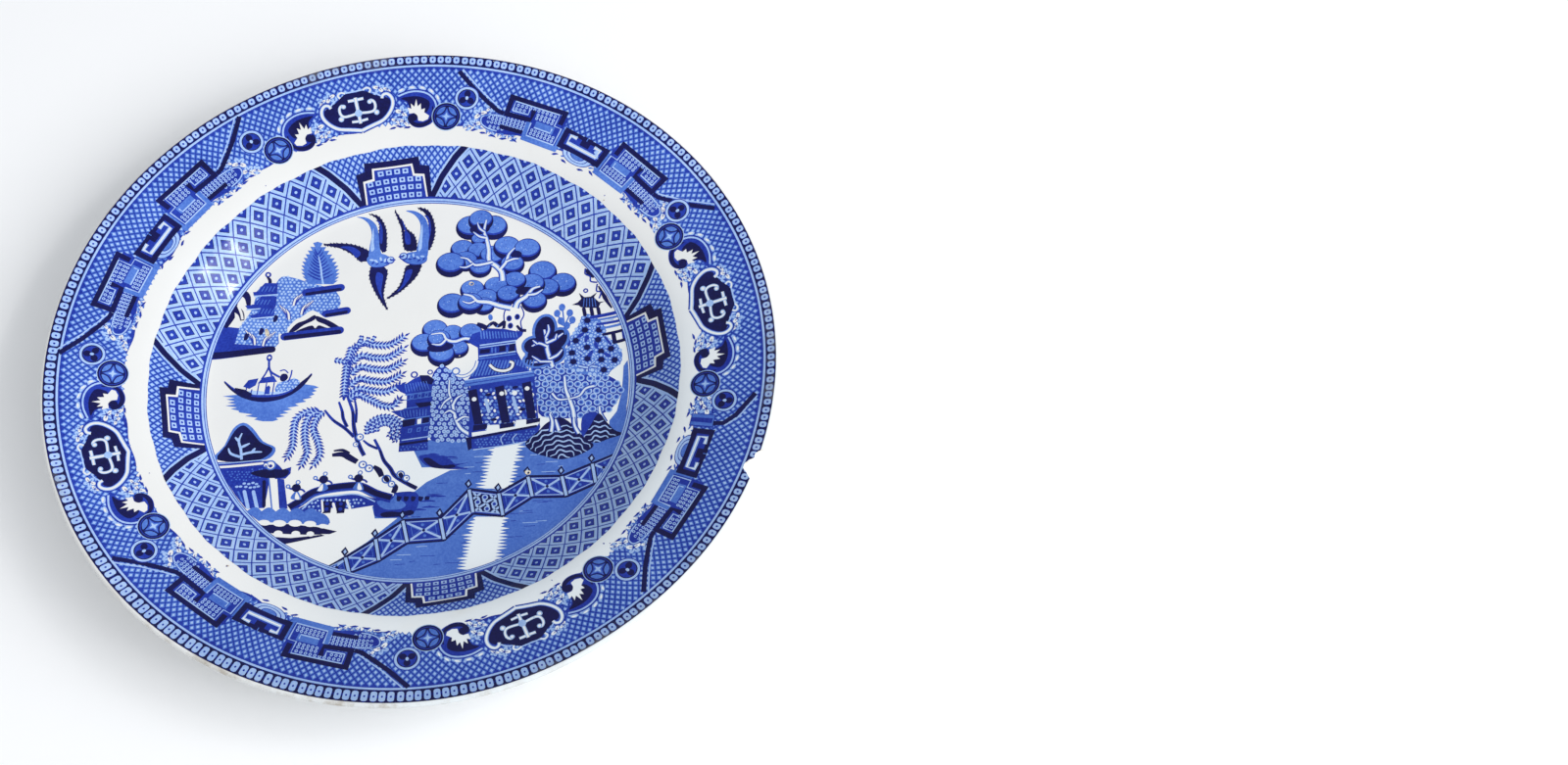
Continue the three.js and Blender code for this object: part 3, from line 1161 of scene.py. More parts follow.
# --- the far shore: spit of land with dark bars, bushes, a pointed tree and a pavilion
dappled("light", [
    (-63.5, 22), (-66, 15), (-50.4, 15), (-49.6, 20.5), (-46, 20.5), (-30.4, 29.5), (-31.2, 37.4),
    (-40.5, 40.6), (-45.5, 42.4), (-50.5, 43), (-53, 39.5), (-58, 37), (-60, 29),
], 1.35, "pale", 0.33)
block(
    "mid",
    [(-71.6, 9.6), (-70.2, 20), (-69, 22.8), (-63.3, 22.4), (-64.3, 16.2), (-50.6, 15.4), (-50.2, 13.4)],
)
bar("dark", (-71.4, 11.2), (-51.3, 14.2), 2.5)
for x, y, lean in ((-45.5, 34.5, 1), (-46.5, 29, -1), (-42.5, 31, 1), (-57.4, 19, -1), (-54.6, 18.5, 1)):
    for reach in (3.8, 2.6, 1.4):
        limb = [(x, y - 3), (x + lean * reach * 0.3, y - 0.6), (x + lean * reach, y + reach * 0.7)]
        sweep("mid", limb, 1.35, (1, 0.5))
        sweep("bare", limb, 0.7, (1, 0.4))
for x, y in ((-51.2, 26.3), (-60.6, 19), (-55.6, 21.2)):
    patch("dark", [(x - 0.8, y - 1.2), (x + 0.4, y - 1), (x + 0.8, y + 0.9), (x - 0.5, y + 1.3)])
for x, y, w in ((-59.8, 36.4, 8.2), (-61, 31.2, 9.4), (-59.2, 27.6, 7.4)):
    block("mid", [
        (x - 1.2, y), (x + 1, y + 0.4), (x + w * 0.45, y + 4), (x + w, y + 4), (x + w, y - 0.4),
        (x + w * 0.4, y - 1.7), (x, y - 1.5),
    ])
    for k in range(5):
        line("light", [(x + 1.6 + k * 1.2, y + 0.6), (x + 2.4 + k * 1.2, y + 2.6)], 0.28)
    line("pale", [(x - 0.6, y - 1.5), (x + w, y - 0.5)], 0.5)
dot("mid", (-55.3, 43.6), 1.1, 10)
dot("bare", (-55.3, 43.6), 0.5, 8)
sweep("dark", [(-55.6, 42.8), (-54.6, 41.6), (-54.4, 40.4)], 1.2, (0.5, 1))
for run, width in (
    ([(-61.4, 40.6), (-63.2, 36.8), (-61.6, 34.4), (-61, 31.4)], 2.6),
    ([(-64, 36), (-65.8, 31), (-63.4, 28.2), (-62.6, 25.4)], 2.6),
    ([(-66.8, 30.4), (-66.9, 26.8), (-68.4, 22.4)], 3.4),
):
    sweep("dark", run, width, (0.3, 0.5))
for k in range(2):
    sweep(
        "bare",
        [(-61.2 - 3.4 * k, 38.2 - 7 * k), (-60 - 3.2 * k, 35.2 - 7 * k), (-59.6 - 3 * k, 31.8 - 6 * k)], 0.9,
    )
bar("mid", (-41.6, 36.8), (-29.6, 38.9), 2.9)
bar("mid", (-34, 28.3), (-26.8, 29.7), 2.9)
bar("dark", (-41.2, 36.2), (-29.8, 38.2), 1.2)
bar("dark", (-33.6, 27.8), (-27, 29.1), 1.2)
patch("bare", [
    (-46.6, 21), (-44.4, 25.8), (-42.6, 26.8), (-39.2, 29.6), (-36.6, 28.8), (-34.6, 27.2), (-31.2, 25.4),
    (-28.4, 24.8), (-27.6, 22.4), (-36, 19.8),
])
for flank in (
    [(-46.2, 21), (-43.8, 24.4), (-40.8, 25.8), (-37.8, 27.9), (-37.6, 26), (-41.2, 23.9), (-44, 21.4)],
    [(-37.4, 27.5), (-34.6, 26.6), (-31.4, 25), (-28.6, 22.9), (-31.2, 22.7), (-34, 24.2), (-36.8, 25.5)],
    [(-43.4, 21), (-40.6, 23), (-38.2, 23.7), (-37.2, 22.6), (-36, 23.8), (-33.4, 22.9), (-30.4, 22)],
):
    patch("dark", flank)
bar("mid", (-47.4, 19.2), (-28.6, 21.9), 3)
bar("dark", (-47, 18.8), (-28.8, 21.3), 1.6)


def feathered(ink, base, tip, half_width, teeth):
    """A pointed tree: a cone of foliage with a fringed edge."""
    left, right = [], []
    for k in range(teeth):
        share = k / teeth
        swell = half_width * math.sin(math.pi * min(1, 0.22 + 0.78 * share)) ** 0.8 * (1 - share * 0.35)
        reach = swell + (0.9 if k % 2 else -0.4)
        x, y = part_way(base, tip, share)
        left.append((x - reach, y + (0.8 if k % 2 else 0)))
        right.append((x + reach, y + (0.8 if k % 2 else 0)))
    block(ink, left + [(tip[0], tip[1] + 0.6)] + right[::-1])


feathered("light", (-36.6, 40.2), (-39.2, 56.6), 6.6, 22)
for k in range(9):
    y = 42.6 + k * 1.25
    reach = 4.6 * (1 - k / 11)
    for side in (-1, 1):
        x = -36.8 - 0.16 * (y - 40)
        sweep(
            "mid", [(x, y - 0.6), (x + side * reach * 0.55, y + 0.5), (x + side * reach, y + 1.9)], 0.6,
            taper=(1, 0.3),
        )
sweep("pale", [(-35.9, 40.2), (-36.7, 43.6), (-37.4, 47.6), (-38.4, 51.4)], 0.7, (1, 0.4))


# --- two birds, each of four long pinions, a pale body and a forked tail
def barbs(outline):
    """Dark saw teeth along the edge of a feather."""
    pitch, length = 1.15, 0.85
    edge = smooth(outline, True, 6)
    gone = 0
    for (x0, y0), (x1, y1) in zip(edge, edge[1:]):
        gone += math.hypot(x1 - x0, y1 - y0)
        if gone > pitch:
            gone = 0
            place = lying(x0, y0, math.degrees(math.atan2(y1 - y0, x1 - x0)))
            block("dark", ((-0.55, 0.15), (0.5, 0.15), (0.75, -length * 0.45)), place)


def bird(pinions, tail, body, head, beak):
    """Feathers first, the dark ones barbed and two-toned, then the spotted body and the head."""
    for ink, outline in pinions + tail:
        patch(ink, outline, steps=4)
        if ink == "dark":
            area = sum(a[0] * b[1] - b[0] * a[1] for a, b in zip(outline, outline[1:] + outline[:1]))
            barbs(outline if area > 0 else outline[::-1])
            middle = [sum(c) / len(outline) for c in zip(*outline)]
            patch("mid", [
                (middle[0] + (x - middle[0]) * 0.42, middle[1] + (y - middle[1]) * 0.62) for x, y in outline
            ])
        else:
            patch(
                "pale",
                [(x * 0.3 + outline[-3][0] * 0.7, y * 0.6 + outline[-3][1] * 0.4) for x, y in outline[2:7]],
            )
    patch("mid", [(body[0][0] + (x - body[0][0]) * 1.06, y - 0.25) for x, y in body], steps=4)
    patch("light", body, steps=4)
    for k in range(4):
        share = 0.22 + 0.19 * k
        spot = (head[0] + (body[0][0] - head[0]) * share, head[1] + 0.5 * math.sin(k * 2.1))
        block("pale", oval(spot, 0.85, 0.42, 70 + 35 * k, 8))
        block("mid", oval((spot[0] + 0.5, spot[1] - 1.2), 0.7, 0.28, 20 * k, 8))
    dot("mid", head, 1.55, 12)
    dot("pale", (head[0], head[1] + 0.1), 1.15, 12)
    dot("dark", (head[0], head[1] + 0.35), 0.32, 6)
    sweep("mid", [head, beak], 0.75, (1, 0.3))


bird(
    pinions=[
        ("dark", [
            (-37.2, 56.1), (-32, 56.7), (-27, 56.3), (-22.8, 54.8), (-19.8, 52.6), (-20.6, 50.2),
            (-23.6, 49.4), (-26.4, 52), (-31, 54.6),
        ]),
        ("dark", [
            (-21.8, 68.5), (-18.4, 67.6), (-16, 64), (-15, 59.6), (-15, 53.6), (-17, 54.4), (-17.9, 60),
            (-18, 64.4), (-19.6, 67.2),
        ]),
        ("light", [
            (-26.2, 67.2), (-22.6, 67), (-19.4, 64.6), (-18, 60.6), (-17.2, 55), (-16, 50.4), (-20.4, 50),
            (-20.8, 55), (-20.4, 60.2), (-21.6, 64.2), (-23.8, 66.4),
        ]),
    ],
    tail=[("dark", [
        (-19.4, 47.6), (-20, 43.4), (-18.4, 38.8), (-15.8, 34.2), (-12.6, 30), (-14.4, 35.6), (-14.2, 40.2),
        (-13.8, 45.6), (-16.2, 47.6),
    ])],
    body=[
        (-21.4, 50), (-20.2, 52), (-16.4, 52.6), (-13.8, 51.4), (-13.2, 49.4), (-15.4, 47.6), (-19.4, 47.4),
    ],
    head=(-13.1, 50), beak=(-11.2, 50.2),
)
bird(
    pinions=[
        ("dark", [
            (-13, 70.2), (-10.2, 66.2), (-8.2, 62.8), (-5.4, 60.2), (-4.2, 56.4), (-4.6, 54), (-8.2, 54.2),
            (-9.4, 58.6), (-10.2, 63),
        ]),
        ("dark", [
            (-4.8, 71.2), (-1.4, 70.4), (0.8, 67), (1.9, 62), (1.4, 57.4), (0.2, 54.2), (-1, 56.6),
            (-0.4, 61.6), (-0.8, 66.2), (-2.4, 69.2),
        ]),
        ("light", [
            (-9, 70), (-5.4, 69.8), (-2, 67.2), (-0.4, 62.6), (-0.2, 57), (-0.4, 51), (-4.2, 50.2),
            (-4, 55.6), (-3.4, 60.4), (-3.6, 65), (-5.8, 68.4),
        ]),
    ],
    tail=[("dark", [
        (-2, 48.4), (-3.4, 43.6), (-6.8, 39.2), (-10, 36.2), (-13.4, 34.4), (-9.8, 38.6), (-8.2, 43.2),
        (-7.4, 47.4), (-4.6, 48.8),
    ])],
    body=[(-0.2, 50.4), (-1.4, 53.4), (-5.4, 53.4), (-8.2, 52.4), (-8.6, 50.4), (-5.8, 48.6), (-2.2, 48.6)],
    head=(-8.6, 51.6), beak=(-10.4, 51.3),
)


# --- the boat over its reflection
def spiked(left, right, tooth, reach):
    """A field of light ink whose two sides run out in fine level teeth."""
    sides = []
    for edge, way in ((left, -1), (right, 1)):
        side = []
        for start, end in zip(edge, edge[1:]):
            count = max(1, round(abs(end[1] - start[1]) / tooth))
            for k in range(count):
                side.append(part_way(start, end, k / count))
                x, y = part_way(start, end, (k + 0.5) / count)
                side.append((x + way * reach * drawn.uniform(0.4, 1.3), y))
        side.append(edge[-1])
        sides.append(side)
    block("light", sides[0] + sides[1][::-1])


spiked(
    [(-62.5, -3.6), (-62, -6), (-60.5, -9.6), (-55.5, -11), (-52, -13.6)],
    [(-37.5, -3.6), (-39, -5.2), (-44, -8.4), (-46.5, -11), (-48.5, -13.6)], 1.3, 3.2,
)
spiked([(-42, 1.2), (-43, -3.8)], [(-35.5, 0.2), (-36.5, -3.8)], 1.5, 2)
patch("bare", [
    (-60.5, -0.6), (-56.5, 2.4), (-50, 4.6), (-44.6, 5.6), (-40.2, 2.8), (-42.4, -1.8), (-48, -4),
    (-56, -3.6),
])
block("mid", [(-59.8, -0.4), (-58.2, 2.2), (-54.9, 2.9), (-55.6, 0.2), (-57.6, -1.2)])
block("mid", [(-55, 0.9), (-53.6, 3.1), (-49.8, 3.9), (-48.4, 1.6)])
patch("pale", [
    (-59.6, -3), (-56.4, -1.9), (-48.6, -2.3), (-42.4, 0.8), (-40.4, 0.6), (-43.6, -2.8), (-49, -4.4),
    (-55, -4.2),
])
dappled("light", [(-48.6, -2.2), (-48, 1), (-45.6, 1.9), (-42.4, 2.9), (-40.6, 1.4), (-43.4, -1.6)], 1.1)
for x, top in ((-58.8, 0.4), (-57, -1.4), (-54.8, 1.4), (-52.2, 1.6), (-49.6, 1.8)):
    line("mid", [(x, -3.4), (x + 0.3, top)], 0.4)
block("mid", [(-52, -3.2), (-51.9, -0.4), (-51.1, 0.2), (-50.5, -0.5), (-50.6, -3.2)])
keel = [(-66.4, 1.6), (-63, -1.6), (-58.6, -4), (-52.6, -4.9), (-46, -3.8), (-40.6, -0.4), (-36.8, 4.8)]
sweep("mid", keel, 2.9, (0.1, 0.2))
sweep("dark", [(x, y - 0.4) for x, y in keel], 1.8, (0.15, 0.25))
block("dark", [(-36.6, 5), (-38.8, 1.4), (-41.2, -1.2), (-43, -2), (-40.4, 1.4)])
sweep("dark", [(-62.6, -1.2), (-59.6, -2.6), (-56.6, -3.6)], 2.4, (0.3, 0.4))
for run, width in (
    ([(-51.9, 9.6), (-51.6, 7), (-50.6, 5.2), (-47.6, 3.4)], 0.8),
    ([(-51.7, 7.6), (-52.6, 4.8), (-53.8, 2.6)], 0.6), ([(-51.5, 6.8), (-50.4, 3.6), (-49.6, 1.8)], 0.6),
    ([(-47.8, 5.8), (-46.2, 6.2), (-44.9, 5)], 0.45), ([(-44.6, 1.6), (-43.9, 4), (-43.7, 6.2)], 0.5),
):
    sweep("mid", run, width)
block("mid", oval((-51.9, 10.9), 1, 1.4, 0, 14))
dot("bare", (-51.9, 11), 0.5, 8)
patch("dark", [(-47.6, 3), (-47, 4.6), (-45.4, 4.6), (-44.8, 3.2), (-45.8, 1.9), (-47, 1.9)])


# --- the willow: rows of feathery fronds on a slender forked stem
def frond(points, width):
    """A hanging branch: a pale ribbon with short dark leaves down both sides and one at its tip."""
    path = smooth(points, steps=8)
    pitch, lean = 1.25, 0.9
    line("pale", path, width * 0.8, taper=(0.85, 0.5))
    leaf = [(width * u, v) for u, v in ((0, 0), (0.3, -0.44), (0.74, -0.08), (0.74, 0.08), (0.3, 0.44))]
    gone = 0.0
    for (x0, y0), (x1, y1) in zip(path, path[1:]):
        length = math.hypot(x1 - x0, y1 - y0)
        along = math.atan2(y1 - y0, x1 - x0)
        while gone < length:
            x, y = x0 + (x1 - x0) * gone / length, y0 + (y1 - y0) * gone / length
            for side in (-1, 1):
                place = lying(x, y, math.degrees(along + side * lean))
                block("mid", leaf, place)
            gone += pitch
        gone -= length
    tip = lying(x1, y1, math.degrees(along))
    block("mid", leaf, tip)


for rise, shift in ((16.6, 0.6), (11.6, 0.9), (7.2, 0), (2.6, -0.2), (-1.2, -0.6)):
    frond([
        (-23.4, rise - 2.6), (-20.4, rise + 0.2), (-15.6, rise - 0.5), (-10.6, rise - 0.5 + shift * 0.4),
        (-6, rise + 2.4 + shift),
    ], 3)
frond([(-23.6, -5.4), (-20.4, -3.4), (-16.2, -5), (-12, -7.2), (-8.2, -7.6), (-6.2, -5.2)], 3)
for shift in (0, 1.3):
    frond([
        (-22.6 - shift, 15.4), (-24.2 - shift * 0.6, 9.6), (-24.6 - shift * 0.5, 3),
        (-24.8 - shift * 0.3, -3.6),
    ], 2.6)
frond([(-20.8, 19.8), (-21.2, 17.4), (-22.4, 15.4)], 1.5)
frond([(-18.4, 19.2), (-18.8, 17.4), (-19.4, 16.2)], 1.3)
frond([(-16.2, 19.6), (-17, 17.8), (-17.6, 16.6)], 1.3)
frond([(-29.4, 10.2), (-27.4, 9.8), (-25.2, 9.4)], 2.2)
frond([(-33.4, -9.4), (-37.4, -10), (-40.6, -13), (-41, -18.4), (-40.9, -23), (-42.4, -27.2)], 2.8)
frond([(-32.8, -9.6), (-35.8, -11.2), (-37.2, -15), (-36.8, -21), (-35.8, -25.4), (-37.4, -30.2)], 2.8)
frond([(-31.6, -9.8), (-33.6, -12.4), (-34.4, -16.4), (-32.4, -21.4), (-31.4, -26.2), (-33.4, -30.2)], 2.8)
for reach in (5.4, 3.9, 2.4):
    centre = (-10.2, -16.6)
    frond([(centre[0] + reach * 1.15 * math.cos(a), centre[1] + reach * 0.95 * math.sin(a))
           for a in (3.5, 2.8, 2.1, 1.5, 0.9, 0.3, -0.4, -0.9)], 1.9)
for run, width in (
    ([(-31.2, -9.2), (-28, -13), (-23.6, -16.2), (-20.4, -19.4)], 1.2),
    ([(-26.6, -6), (-25.2, -9.6), (-24.6, -12.4), (-23, -15.6)], 1.2),
    ([(-23.6, -4.6), (-21.6, -9.6), (-20.9, -14.6), (-19.8, -19), (-18, -23.4), (-16.4, -26.4)], 1.5),
    ([(-21.6, -3.8), (-20.4, -9), (-20.2, -14)], 0.9), ([(-17.2, -20.6), (-15, -22.4), (-12, -23.8)], 1),
    ([
        (-13.4, -20.2), (-11.2, -24.4), (-9.6, -28.2), (-7.2, -31.2), (-5.4, -34), (-1.2, -36.8),
        (2.2, -38.6),
    ], 1.5),
):
    sweep("mid", run, width, (0.6, 1))
    sweep("dark", run[1:], width * 0.35)
for run, width in (
    ([(-27.2, -26.3), (-23.6, -26), (-20.6, -27.6), (-18.6, -28.8)], 2.3),
    ([(-12.9, -30.4), (-11, -32), (-9.9, -34.2)], 2.2), ([(-6.6, -36.6), (-5, -38.2), (-5.6, -40.4)], 2),
    ([(-1.4, -36.6), (0.4, -37.6), (2.2, -38.6)], 1.4),
    ([(-26.8, -24.7), (-23.8, -24.4), (-21.4, -25.6)], 1.1),
):
    sweep("dark", run, width, (0.5, 0.8))
for x, y, r in (
    (-18.4, -19.4, 1.4), (-16.6, -29.8, 1.5), (-14.4, -31.2, 1.5), (-8.2, -35.2, 1.7), (-6.4, -37, 1.3),
    (-3.6, -33.4, 1.5), (-1.6, -34.8, 1.3), (-19.6, -22.2, 1),
):
    dot("light", (x, y), r, 12)
    dot("bare", (x, y), r * 0.68, 10)
    dot("mid", (x + 0.2, y + 0.1), r * 0.24, 6)
patch("dark", [(-9.2, -34.6), (-8.4, -33.8), (-7.2, -35.2), (-7.6, -36.4), (-8.8, -35.8)])
patch("dark", [(-4.4, -33.4), (-3.4, -32.6), (-2.6, -34), (-3.4, -35)])


# --- the little bridge and the three people on it
patch("mid", [
    (-12, -42.6), (-8.6, -41.4), (-5.6, -41.6), (-4.6, -40.2), (2, -40), (3.2, -44), (1, -48.6),
    (-4.6, -49.4), (-10.6, -49.2), (-11.6, -46.4),
])
patch(
    "light",
    [(-10.8, -43.4), (-6, -42.8), (-4.8, -40.8), (-3.8, -42.2), (-1, -44.6), (-3.2, -46.4), (-8.4, -46.2)],
)
for x in (-3.4, -1, 1.4, 3.9, 6):
    sweep("dark", [(x, -41.6), (x - 0.3, -43.4)], 1.6, (1, 0.5))
patch(
    "dark",
    [(-9.2, -48), (-6.4, -47.2), (-2.6, -47.4), (1, -46.6), (1.6, -48.2), (-3.4, -49), (-8.2, -49.3)],
)
for x, y in ((6.4, -43.2), (8.2, -41.2), (7, -45.4), (3.6, -46.4), (9.8, -41.4)):
    sweep("mid", [(x - 2.6, y - 0.3), (x, y), (x + 2.4, y - 0.2)], 0.8, (0.4, 0.3))
deck = [
    (-39.8, -46.2), (-36.2, -43.6), (-32.6, -40.6), (-27.6, -39), (-20.6, -38), (-16.4, -38.2),
    (-11.2, -40.8), (-6, -42.4),
]
block("mid", [
    (-37.6, -46.9), (-31.2, -48.4), (-29.4, -48.2), (-28, -45.8), (-19.6, -46.4), (-12, -45), (-10.4, -42.8),
    (-17, -40.9), (-25, -41.4), (-30.4, -42.2),
])
for x in (-27.6, -23):
    block("dark", [(x - 1.5, -43.6), (x - 1, -48), (x + 1.6, -47.8), (x + 1.9, -43.2)])
    for y in (-44.4, -46.4):
        dot("mid", (x + 0.2, y), 0.7, 8)
bar("bare", (-29.2, -43.2), (-28.6, -47.2), 0.7)
bar("bare", (-25.3, -44.4), (-24.3, -47.6), 0.9)
bar("bare", (-20.8, -43.2), (-19.6, -46.2), 0.9)
for spot in scatter(
    [(-36, -46.4), (-31.4, -42.8), (-20, -42), (-14, -43.4), (-14.6, -44.8), (-20, -45.6), (-31, -47.4)],
    1.45,
):
    if not any(abs(spot[0] - x) < 2.1 and spot[1] < -43.4 for x in (-27.6, -23)):
        dot("pale", spot, 0.42, 6)
sweep("mid", deck, 3.3)
sweep("dark", [(x - 0.2, y + 0.3) for x, y in deck], 1.9)
sweep("light", [(x, y - 1.5) for x, y in deck[1:-1]], 0.35)
sweep("pale", [(-35.6, -46.6), (-31.6, -42.6), (-24.4, -41.4), (-17.6, -40.9), (-11.4, -43.6)], 0.5)
for x, y, lean in ((-38.2, -38.6, 1), (-29.3, -35.4, -1), (-17.6, -34.9, 1)):
    patch("light", [
        (x + lean * 0.2, y - 1), (x - 1.6, y - 3.6), (x + lean * 0.8 - 1.2, y - 4.4),
        (x + lean * 0.8 + 1, y - 4.4), (x + 1.8, y - 3.2),
    ])
    patch(
        "bare",
        [(x + lean * 0.2, y - 1.6), (x + lean * 0.8 - 0.9, y - 4.1), (x + lean * 0.8 + 0.7, y - 4.1)],
    )
    sweep("mid", [(x - 3.2, y + 0.6), (x - 1.6, y - 0.4), (x + 1.8, y - 0.6), (x + 3, y - 1.6)], 0.7)
    dot("light", (x - 2.8, y + 0.5), 0.85, 8)
    dot("bare", (x - 2.8, y + 0.5), 0.4, 6)
    dot("dark", (x, y), 1.55, 14)
    dot("light", (x + 0.4, y + 2.1), 0.85, 10)
    dot("bare", (x + 0.4, y + 2.1), 0.5, 8)

# --- the house by the bridge, with the dark tree behind it and its scalloped lawn
patch("light", [
    (-66.4, -28.4), (-63.8, -23), (-61.6, -16.6), (-58.4, -14.2), (-55, -16.2), (-51, -21.2), (-46.6, -23.6),
    (-48, -27.4), (-54, -29),
])
patch("dark", [
    (-65.6, -28.6), (-63.2, -22.8), (-61, -17.4), (-58.4, -15.2), (-55.6, -17.2), (-51.8, -21.6),
    (-47.6, -23.8), (-49.2, -26.8), (-54, -28.8),
])
for run in (
    [(-57.6, -28.2), (-58.2, -24.4), (-59.2, -21.2), (-58.4, -18.2)], [(-58.2, -23.6), (-55.4, -22)],
    [(-58, -26.4), (-54.6, -25.4), (-51, -25.2)], [(-54.4, -25.4), (-53.4, -23.8)],
    [(-58.2, -27.2), (-61.4, -26), (-62.4, -24)], [(-59, -21.4), (-60.6, -19.8)],
):
    sweep("pale", run, 0.9, (1, 0.5))
block("mid", [
    (-66.8, -29.6), (-57.8, -29), (-49.8, -28.6), (-47, -28.4), (-44.6, -30.4), (-43.4, -31.8),
    (-40.6, -30.8), (-40.6, -33.2), (-42.2, -35.2), (-47.4, -35.4), (-48.2, -46.2), (-54.2, -46.6),
    (-58, -42), (-62.6, -35.4),
])
for spot in scatter([(-62.6, -33), (-49.4, -31.2), (-50.4, -35.6), (-60.4, -36.4)], 1.2):
    dot("light", spot, 0.3, 6)
patch("dark", [
    (-54.2, -33.2), (-48.6, -31.6), (-44.4, -31.8), (-41.6, -31.8), (-41.4, -33.4), (-43.4, -34.8),
    (-48.8, -35),
])
bar("bare", (-65.2, -31.4), (-50.4, -29.5), 0.9)
bar("pale", (-65, -30), (-50.2, -28.2), 0.35)
for x, y, r in ((-47.6, -30.2, 1.9), (-49.2, -30.2, 0.9)):
    dot("light", (x, y), r, 14)
    dot("bare", (x, y), r * 0.72, 12)
    dot("mid", (x, y - 0.3), r * 0.34, 8)
for spot in scatter([(-60.2, -37.6), (-50.6, -36.2), (-51, -38.6), (-59, -39)], 1.5):
    block("pale", oval(spot, 0.62, 0.42, 10, 8))
for x in (-55.4, -52.4):
    bar("pale", (x, -40.2), (x + 1.8, -46.2), 1.2)
bar("light", (-57.4, -40.4), (-55.6, -44.2), 0.6)
bar("dark", (-49.2, -36.4), (-48.4, -45.4), 1.2)
block("mid", [(-44.9, -35.2), (-42.6, -35.4), (-40.4, -46.4), (-43.2, -46.2)])
block("bare", [(-48, -35), (-45.7, -35), (-43.6, -46.2), (-45.8, -46.4)])
block("light", [(-48, -35), (-47.5, -35), (-45.4, -46.4), (-45.9, -46.4)])
wavy(
    "light", [(-53.8, -47.9), (-49.2, -51.4), (-26.2, -52.2), (-26.2, -50.4), (-29.8, -47.8)],
    ((-53.6, -47.4), (-30.2, -47.6)), 5, 1.5,
)
patch("light", [(-32, -47.6), (-28.6, -48), (-26.4, -49.8), (-26.4, -52), (-33, -52)])
block("dark", [
    (-48.6, -52.6), (-40, -52), (-30, -53), (-23.2, -54.6), (-25.6, -55.6), (-28.6, -55.6), (-27.2, -56.2),
    (-33.6, -57.8), (-40.2, -59.6), (-43.8, -57.4), (-47.2, -54.8),
])
for x, y, r in (
    (-47.6, -51.6, 2.2), (-42.6, -51.7, 2.5), (-37.4, -51.6, 2.5), (-32.4, -51.8, 2.3), (-28, -52.6, 1.7),
    (-24.9, -53.4, 1.2),
):
    block("bare", oval((x, y - 0.1), r * 0.9, r * 0.5, -3, 16))
block("bare", [(-45.2, -55.6), (-34, -55.9), (-28, -55.8), (-33.6, -56.6), (-38.4, -57.2), (-43.4, -57)])
for x, r in ((-42.6, 1.5), (-36.8, 1.5), (-32, 1.3)):
    block("bare", oval((x, -55.6), r, r * 0.75, -3, 14))


# --- the great trees: heaped round crowns, pale above and dark beneath, on white boughs
def crown(x, y, size):
    """One round clump of leaves, in shade below."""
    block("dark", oval((x, y), size * 1.04, size, 0, 26))
    block("mid", oval((x, y + size * 0.2), size * 0.94, size * 0.78, 0, 24))
    block("light", oval((x - size * 0.02, y + size * 0.25), size * 0.88, size * 0.68, 0, 24))
    for _ in range(round(size * 3)):
        angle, out = drawn.uniform(0, math.tau), size * 0.6 * math.sqrt(drawn.random())
        spot = (x + out * math.cos(angle), y + size * 0.25 + out * 0.8 * math.sin(angle))
        dot(drawn.choice(("mid", "pale", "mid")), spot, 0.16, 5)


def white_bough(points, width, taper):
    """A pale branch, lit along its middle, between dark edges."""
    bough(points, width, "mid", "pale", taper, 0.8)
    sweep("bare", points, width * 0.5, taper)


for x, y, size in (
    (14.2, 63.2, 4.9), (22.4, 63.2, 4.9), (17.8, 66, 4.3), (17.4, 58.4, 2.6), (12, 54.2, 4.2),
    (17.6, 53.6, 3.8), (13.4, 49.6, 4.2), (22.6, 51.6, 4.4), (8.2, 48.2, 5.1), (18.6, 46.8, 3.9),
    (27.6, 55.2, 4.7), (34.8, 54.2, 4.7), (29.8, 48.2, 4.2), (40.6, 45, 4.9), (47.8, 40.2, 4.8),
    (42.6, 38.6, 4.2), (37, 40.2, 4.6), (31, 41.6, 4), (24.6, 39.2, 4.2), (16.4, 38, 4.2), (21.6, 34.6, 4),
    (29, 36, 4.1), (38.2, 33.4, 4.4), (20.8, 31.6, 3.6), (9.6, 31.8, 5), (16, 32.6, 4.4), (4.4, 21.8, 4.4),
    (10.6, 20.4, 3.8), (16.8, 20.8, 4), (1, 16.2, 4.6), (12.8, 14.6, 3.6), (6, 18.2, 4), (7.2, 12.2, 4.6),
):
    crown(x, y, size)
for x, y, across, high in (
    (17.6, 62.8, 3.6, 2.2), (34.6, 37.8, 3.2, 1.6), (38.6, 38.2, 2.6, 1.4), (6.6, 15.4, 4.6, 1.9),
    (31, 52.4, 2, 1.6),
):
    block("dark", oval((x, y), across, high, 8, 20))
white_bough([
    (26.8, 41.8), (26.2, 45.4), (24.2, 47.8), (21.6, 50), (21.2, 54.4), (20.2, 58.8), (19.2, 62),
    (19.8, 66.4),
], 1.4, (1.25, 0.45))
white_bough([(20, 59.2), (17.6, 59.8), (15.4, 61.6)], 0.8, (1, 0.4))
white_bough([(19.4, 61.6), (17.6, 63), (16.6, 65.4)], 0.7, (1, 0.4))
white_bough([(22.8, 49.4), (20, 48.6), (16.6, 48.2), (14, 50.6), (11.4, 51.2)], 1, (1, 0.4))
white_bough([(16, 48.6), (13.6, 47.2), (11.4, 47.4)], 0.7, (1, 0.5))
white_bough([(25.8, 46.6), (27.6, 49.4), (28.4, 52.6), (30.4, 55.2)], 1, (1, 0.4))
white_bough([(27.8, 49.6), (30, 50.6), (32, 50.8)], 0.8, (1, 0.4))
for side in (-1, 1):
    bough([
        (31.2 + side * 2.7, 21.6), (31.0 + side * 2, 25.4), (31.4 + side * 2.6, 28.4),
        (31.2 + side * 1.6, 31.4),
    ], 1.3, "mid", "bare")
patch(
    "bare",
    [(28.9, 22.4), (29.4, 26), (29.2, 29), (30, 32.2), (32.6, 32.2), (33.4, 29), (32.9, 26), (33.2, 22.2)],
)
white_bough(
    [(30.2, 31), (26.4, 31.8), (22.4, 33.2), (18.4, 33.6), (16.4, 35.6), (13.4, 36.4)], 1.4, (1.2, 0.4),
)
white_bough([(17.6, 33.8), (15.6, 32.8), (13.2, 33.6)], 0.7, (1, 0.5))
